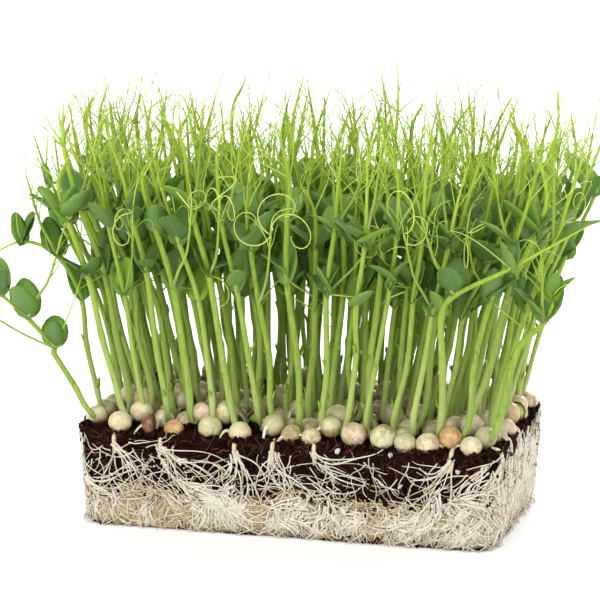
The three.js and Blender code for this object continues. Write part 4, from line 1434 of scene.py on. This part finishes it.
def settle(centres, radii, feet, fixed):
    """Pushes the peas apart, clear of the stems' feet, and back over the block; the first few stay."""
    for _ in range(50):
        gap = centres[:, None] - centres[None]
        apart = np.linalg.norm(gap, axis=-1) + np.eye(len(centres)) * 99
        need = (radii[:, None] + radii[None] - apart).clip(0)
        push = (0.3 * need / apart)[..., None] * gap
        moved = centres + push.sum(1)
        away = moved[:, None, :2] - feet[None]
        apart = np.linalg.norm(away, axis=-1)
        need = (radii[:, None] + 0.9 - apart).clip(0)
        moved[:, :2] += (0.5 * (need / apart)[..., None] * away).sum(1)
        half_x, half_y = half_sizes(BED_TOP, PEA_OVERHANG)
        moved[:, 0] = np.clip(moved[:, 0], radii - half_x, half_x - radii)
        moved[:, 1] = np.clip(moved[:, 1], radii - half_y, half_y - radii)
        moved[:, 2] = np.clip(moved[:, 2] - 0.05, BED_TOP + 1.8, BED_TOP + 8)
        moved[:fixed] = centres[:fixed]
        centres = moved
    return centres


def cup_of(ball, reach, wall):
    """The ball's points moved onto a cup with a wall: its upper half becomes the inside."""
    polar = np.arccos(np.clip(ball[:, 2], -1, 1))
    turn = np.arctan2(ball[:, 1], ball[:, 0])
    inside = polar < math.pi / 2 - 1e-6
    angle = np.where(inside, polar, math.pi - polar) / (math.pi / 2) * reach
    radius = np.where(inside, 1 - wall, 1)
    flat = np.sin(angle) * radius
    return np.column_stack([flat * np.cos(turn), flat * np.sin(turn), -np.cos(angle) * radius])


def pea_stand(feet):
    """The peas' centres, radii and tints, with those along the front first."""
    front = np.array(FRONT_PEAS) + (0, 0, BED_TOP + 0.7, 0, 0)
    places = pea_places()
    places = places[np.linalg.norm(places[:, None, :2] - front[None, :, :2], axis=-1).min(1) >= 5.5]
    places = places + rng.uniform(-2, 2, places.shape) * (1, 1, 0)
    x, y = rng.uniform(-76, 76, UPPER_PEAS), rng.uniform(-34, 40, UPPER_PEAS)
    upper = np.column_stack([x, y, rng.uniform(BED_TOP + 5, BED_TOP + 8, UPPER_PEAS)])
    centres = np.concatenate([front[:, :3], places, upper])
    radii = np.concatenate([front[:, 3], rng.uniform(3.9, 4.9, len(places) + len(upper))])
    kinds = np.array(PEA_KINDS)
    tints = rng.choice(kinds[:, 0], len(centres), p=kinds[:, 1]) + rng.normal(0, 0.03, len(centres))
    tints[rng.uniform(size=len(centres)) < 0.07] = HULL_TINT
    tints[: len(front)] = front[:, 4]
    return settle(centres, radii, feet, len(front)), radii, tints


def add_pea(heap, at, size, tint, split):
    """A dented pea. A hull is an empty cup, and a split one still holds the smaller green pea."""
    ball, quads, tris = PEA_BALL
    wear = rng.uniform()
    points = ball * rng.uniform(0.93, 1.05, 3)
    dents = 0.05 * dent.at(ball * 4.2 + at * 3.1) + 0.014 * dent.at(ball * 14 + at)
    points = points * (1 + dents)[:, None]
    if split is None:
        split = rng.uniform() < 0.1
    if tint > 0.95 or split:
        inner = points * 0.82
        points = cup_of(ball, 2.0 if split else 1.75, 0.1) * (1 + 0.08 * dent.at(ball * 5 + at))[:, None]
        if split:
            green = inner @ random_turns(1)[0].T * size + at
            heap.add(green, [quads, tris], 0, (GREEN_TINT, 0.2, 0, 0))
    points = points @ random_turns(1)[0].T * size + at
    heap.add(points, [quads, tris], 0, (np.clip(tint, 0.1, 1), wear, 0, 0))


def make_peas(feet, materials):
    heap = Heap()
    centres, radii, tints = pea_stand(feet)
    for i, (at, size, tint) in enumerate(zip(centres, radii, tints)):
        add_pea(heap, at, size, tint, i == SPLIT_PEA if i < len(FRONT_PEAS) else None)
    add_radicles(heap, centres, radii)
    show(heap, "germinated_peas", materials, "pea_bed")
    return centres


def add_radicles(heap, centres, radii):
    """The first roots, which arch out of the peas and down into the soil."""
    picks = rng.choice(len(centres), RADICLES, replace=False)
    azimuth = rng.uniform(0, TURN, len(picks))
    out = np.column_stack([np.cos(azimuth), np.sin(azimuth), 0 * azimuth])
    size = radii[picks][:, None]
    start = centres[picks] + out * size * 0.8
    end = centres[picks] + out * (size + rng.uniform(1.5, 5, (len(picks), 1)))
    end[:, 2] = BED_TOP - 0.5
    peak = (start + end) / 2 + np.array([0, 0, 1.0]) * rng.uniform(1, 4.5, (len(picks), 1))
    paths = arches(start, peak, end, 9)
    half_x, half_y = half_sizes(BED_TOP, 1.0)
    inside = np.all((np.abs(paths[..., 0]) < half_x) & (np.abs(paths[..., 1]) < half_y), axis=1)
    paths = paths[inside]
    looks = tinted(rng.uniform(0.2, 0.9, len(paths)))
    width = rng.uniform(0.45, 0.85, (len(paths), 1)) * np.linspace(1.1, 0.7, 9)[None]
    add_tubes(heap, paths, width, 6, 1, looks)


# Stage


def make_stage(material):
    mesh = bpy.data.meshes.new("floor")
    size = 6.0
    corners = [(-size, -size, 0), (size, -size, 0), (size, size, 0), (-size, size, 0)]
    mesh.from_pydata(corners, [], [(0, 1, 2, 3)])
    mesh.materials.append(material)
    floor = bpy.data.objects.new("floor", mesh)
    bpy.context.scene.collection.objects.link(floor)


def add_light(name, place, aim, size, power):
    light = bpy.data.lights.new(name, "AREA")
    light.shape = "SQUARE"
    light.size = size
    light.energy = power
    lamp = bpy.data.objects.new(name, light)
    lamp.location = place
    lamp.rotation_euler = (Vector(aim) - Vector(place)).to_track_quat("-Z", "Y").to_euler()
    bpy.context.scene.collection.objects.link(lamp)


def light_scene():
    world = bpy.data.worlds.new("studio")
    bpy.context.scene.world = world
    world.use_nodes = True
    background = world.node_tree.nodes["Background"]
    background.inputs[0].default_value = (1, 1, 1, 1)
    background.inputs[1].default_value = 1.0
    middle = (0, 0, 0.09)
    add_light("key", (-0.7, -1.0, 1.1), middle, 0.8, 14)
    add_light("fill", (1.1, -0.9, 0.6), middle, 0.9, 6)
    add_light("back", (0.2, 1.2, 0.9), middle, 1.0, 16)


LENS = 200
SENSOR_WIDTH = 36
CAMERA_AZIMUTH = 14.7
CAMERA_ELEVATION = 12.1
CAMERA_DISTANCE = 1.349
CAMERA_TARGET = (-0.0055, 0, 0.0867)


def add_camera():
    azimuth, elevation = math.radians(CAMERA_AZIMUTH), math.radians(CAMERA_ELEVATION)
    flat = math.cos(elevation)
    back = Vector((math.sin(azimuth) * flat, -math.cos(azimuth) * flat, math.sin(elevation)))
    camera = bpy.data.cameras.new("camera")
    camera.lens = LENS
    camera.sensor_width = SENSOR_WIDTH
    camera.clip_end = 20
    holder = bpy.data.objects.new("camera", camera)
    holder.location = Vector(CAMERA_TARGET) + back * CAMERA_DISTANCE
    holder.rotation_euler = back.to_track_quat("Z", "Y").to_euler()
    bpy.context.scene.collection.objects.link(holder)
    bpy.context.scene.camera = holder


add_camera()
light_scene()
bpy.context.scene.view_settings.view_transform = "Standard"
materials = {
    "leaf": leaf_material(),
    "stem": stem_material(),
    "tendril": tendril_material(),
    "root": root_material(),
    "felt": felt_material(),
    "soil": soil_material(),
    "fibre": fibre_material(),
    "perlite": perlite_material(),
    "pea": pea_material(),
    "floor": floor_material(),
}
PIECES = (
    ("soil_with_crumbs", add_soil, "soil", "soil", "soil_block"),
    ("coir_fibres", add_fibres, "fibre", "soil", None),
    ("perlite_grains", add_perlite, "perlite", "soil", None),
    ("root_felt", add_felt, "felt", "roots", "root_mat"),
    ("root_strands_inner", add_inner_strands, "root", "roots", None),
    ("root_strands_outer", add_outer_strands, "root", "roots", None),
    ("root_tips", add_root_tips, "root", "roots", None),
    ("root_fringe", add_fringe, "root", "roots", None),
    ("climbing_roots", add_climbing_roots, "root", "roots", None),
)
make_stage(materials["floor"])
for name, add, material, slot, node in PIECES:
    heap = Heap()
    add(heap)
    show(heap, name, [materials[material]], node)
tufts = place_stand()
feet = np.array([shoot["route"][0][:2] for tuft in tufts for shoot in tuft["shoots"]])
peas = make_peas(feet, [materials["pea"], materials["root"]])
make_tufts(tufts, peas, [materials["leaf"], materials["stem"], materials["tendril"]])
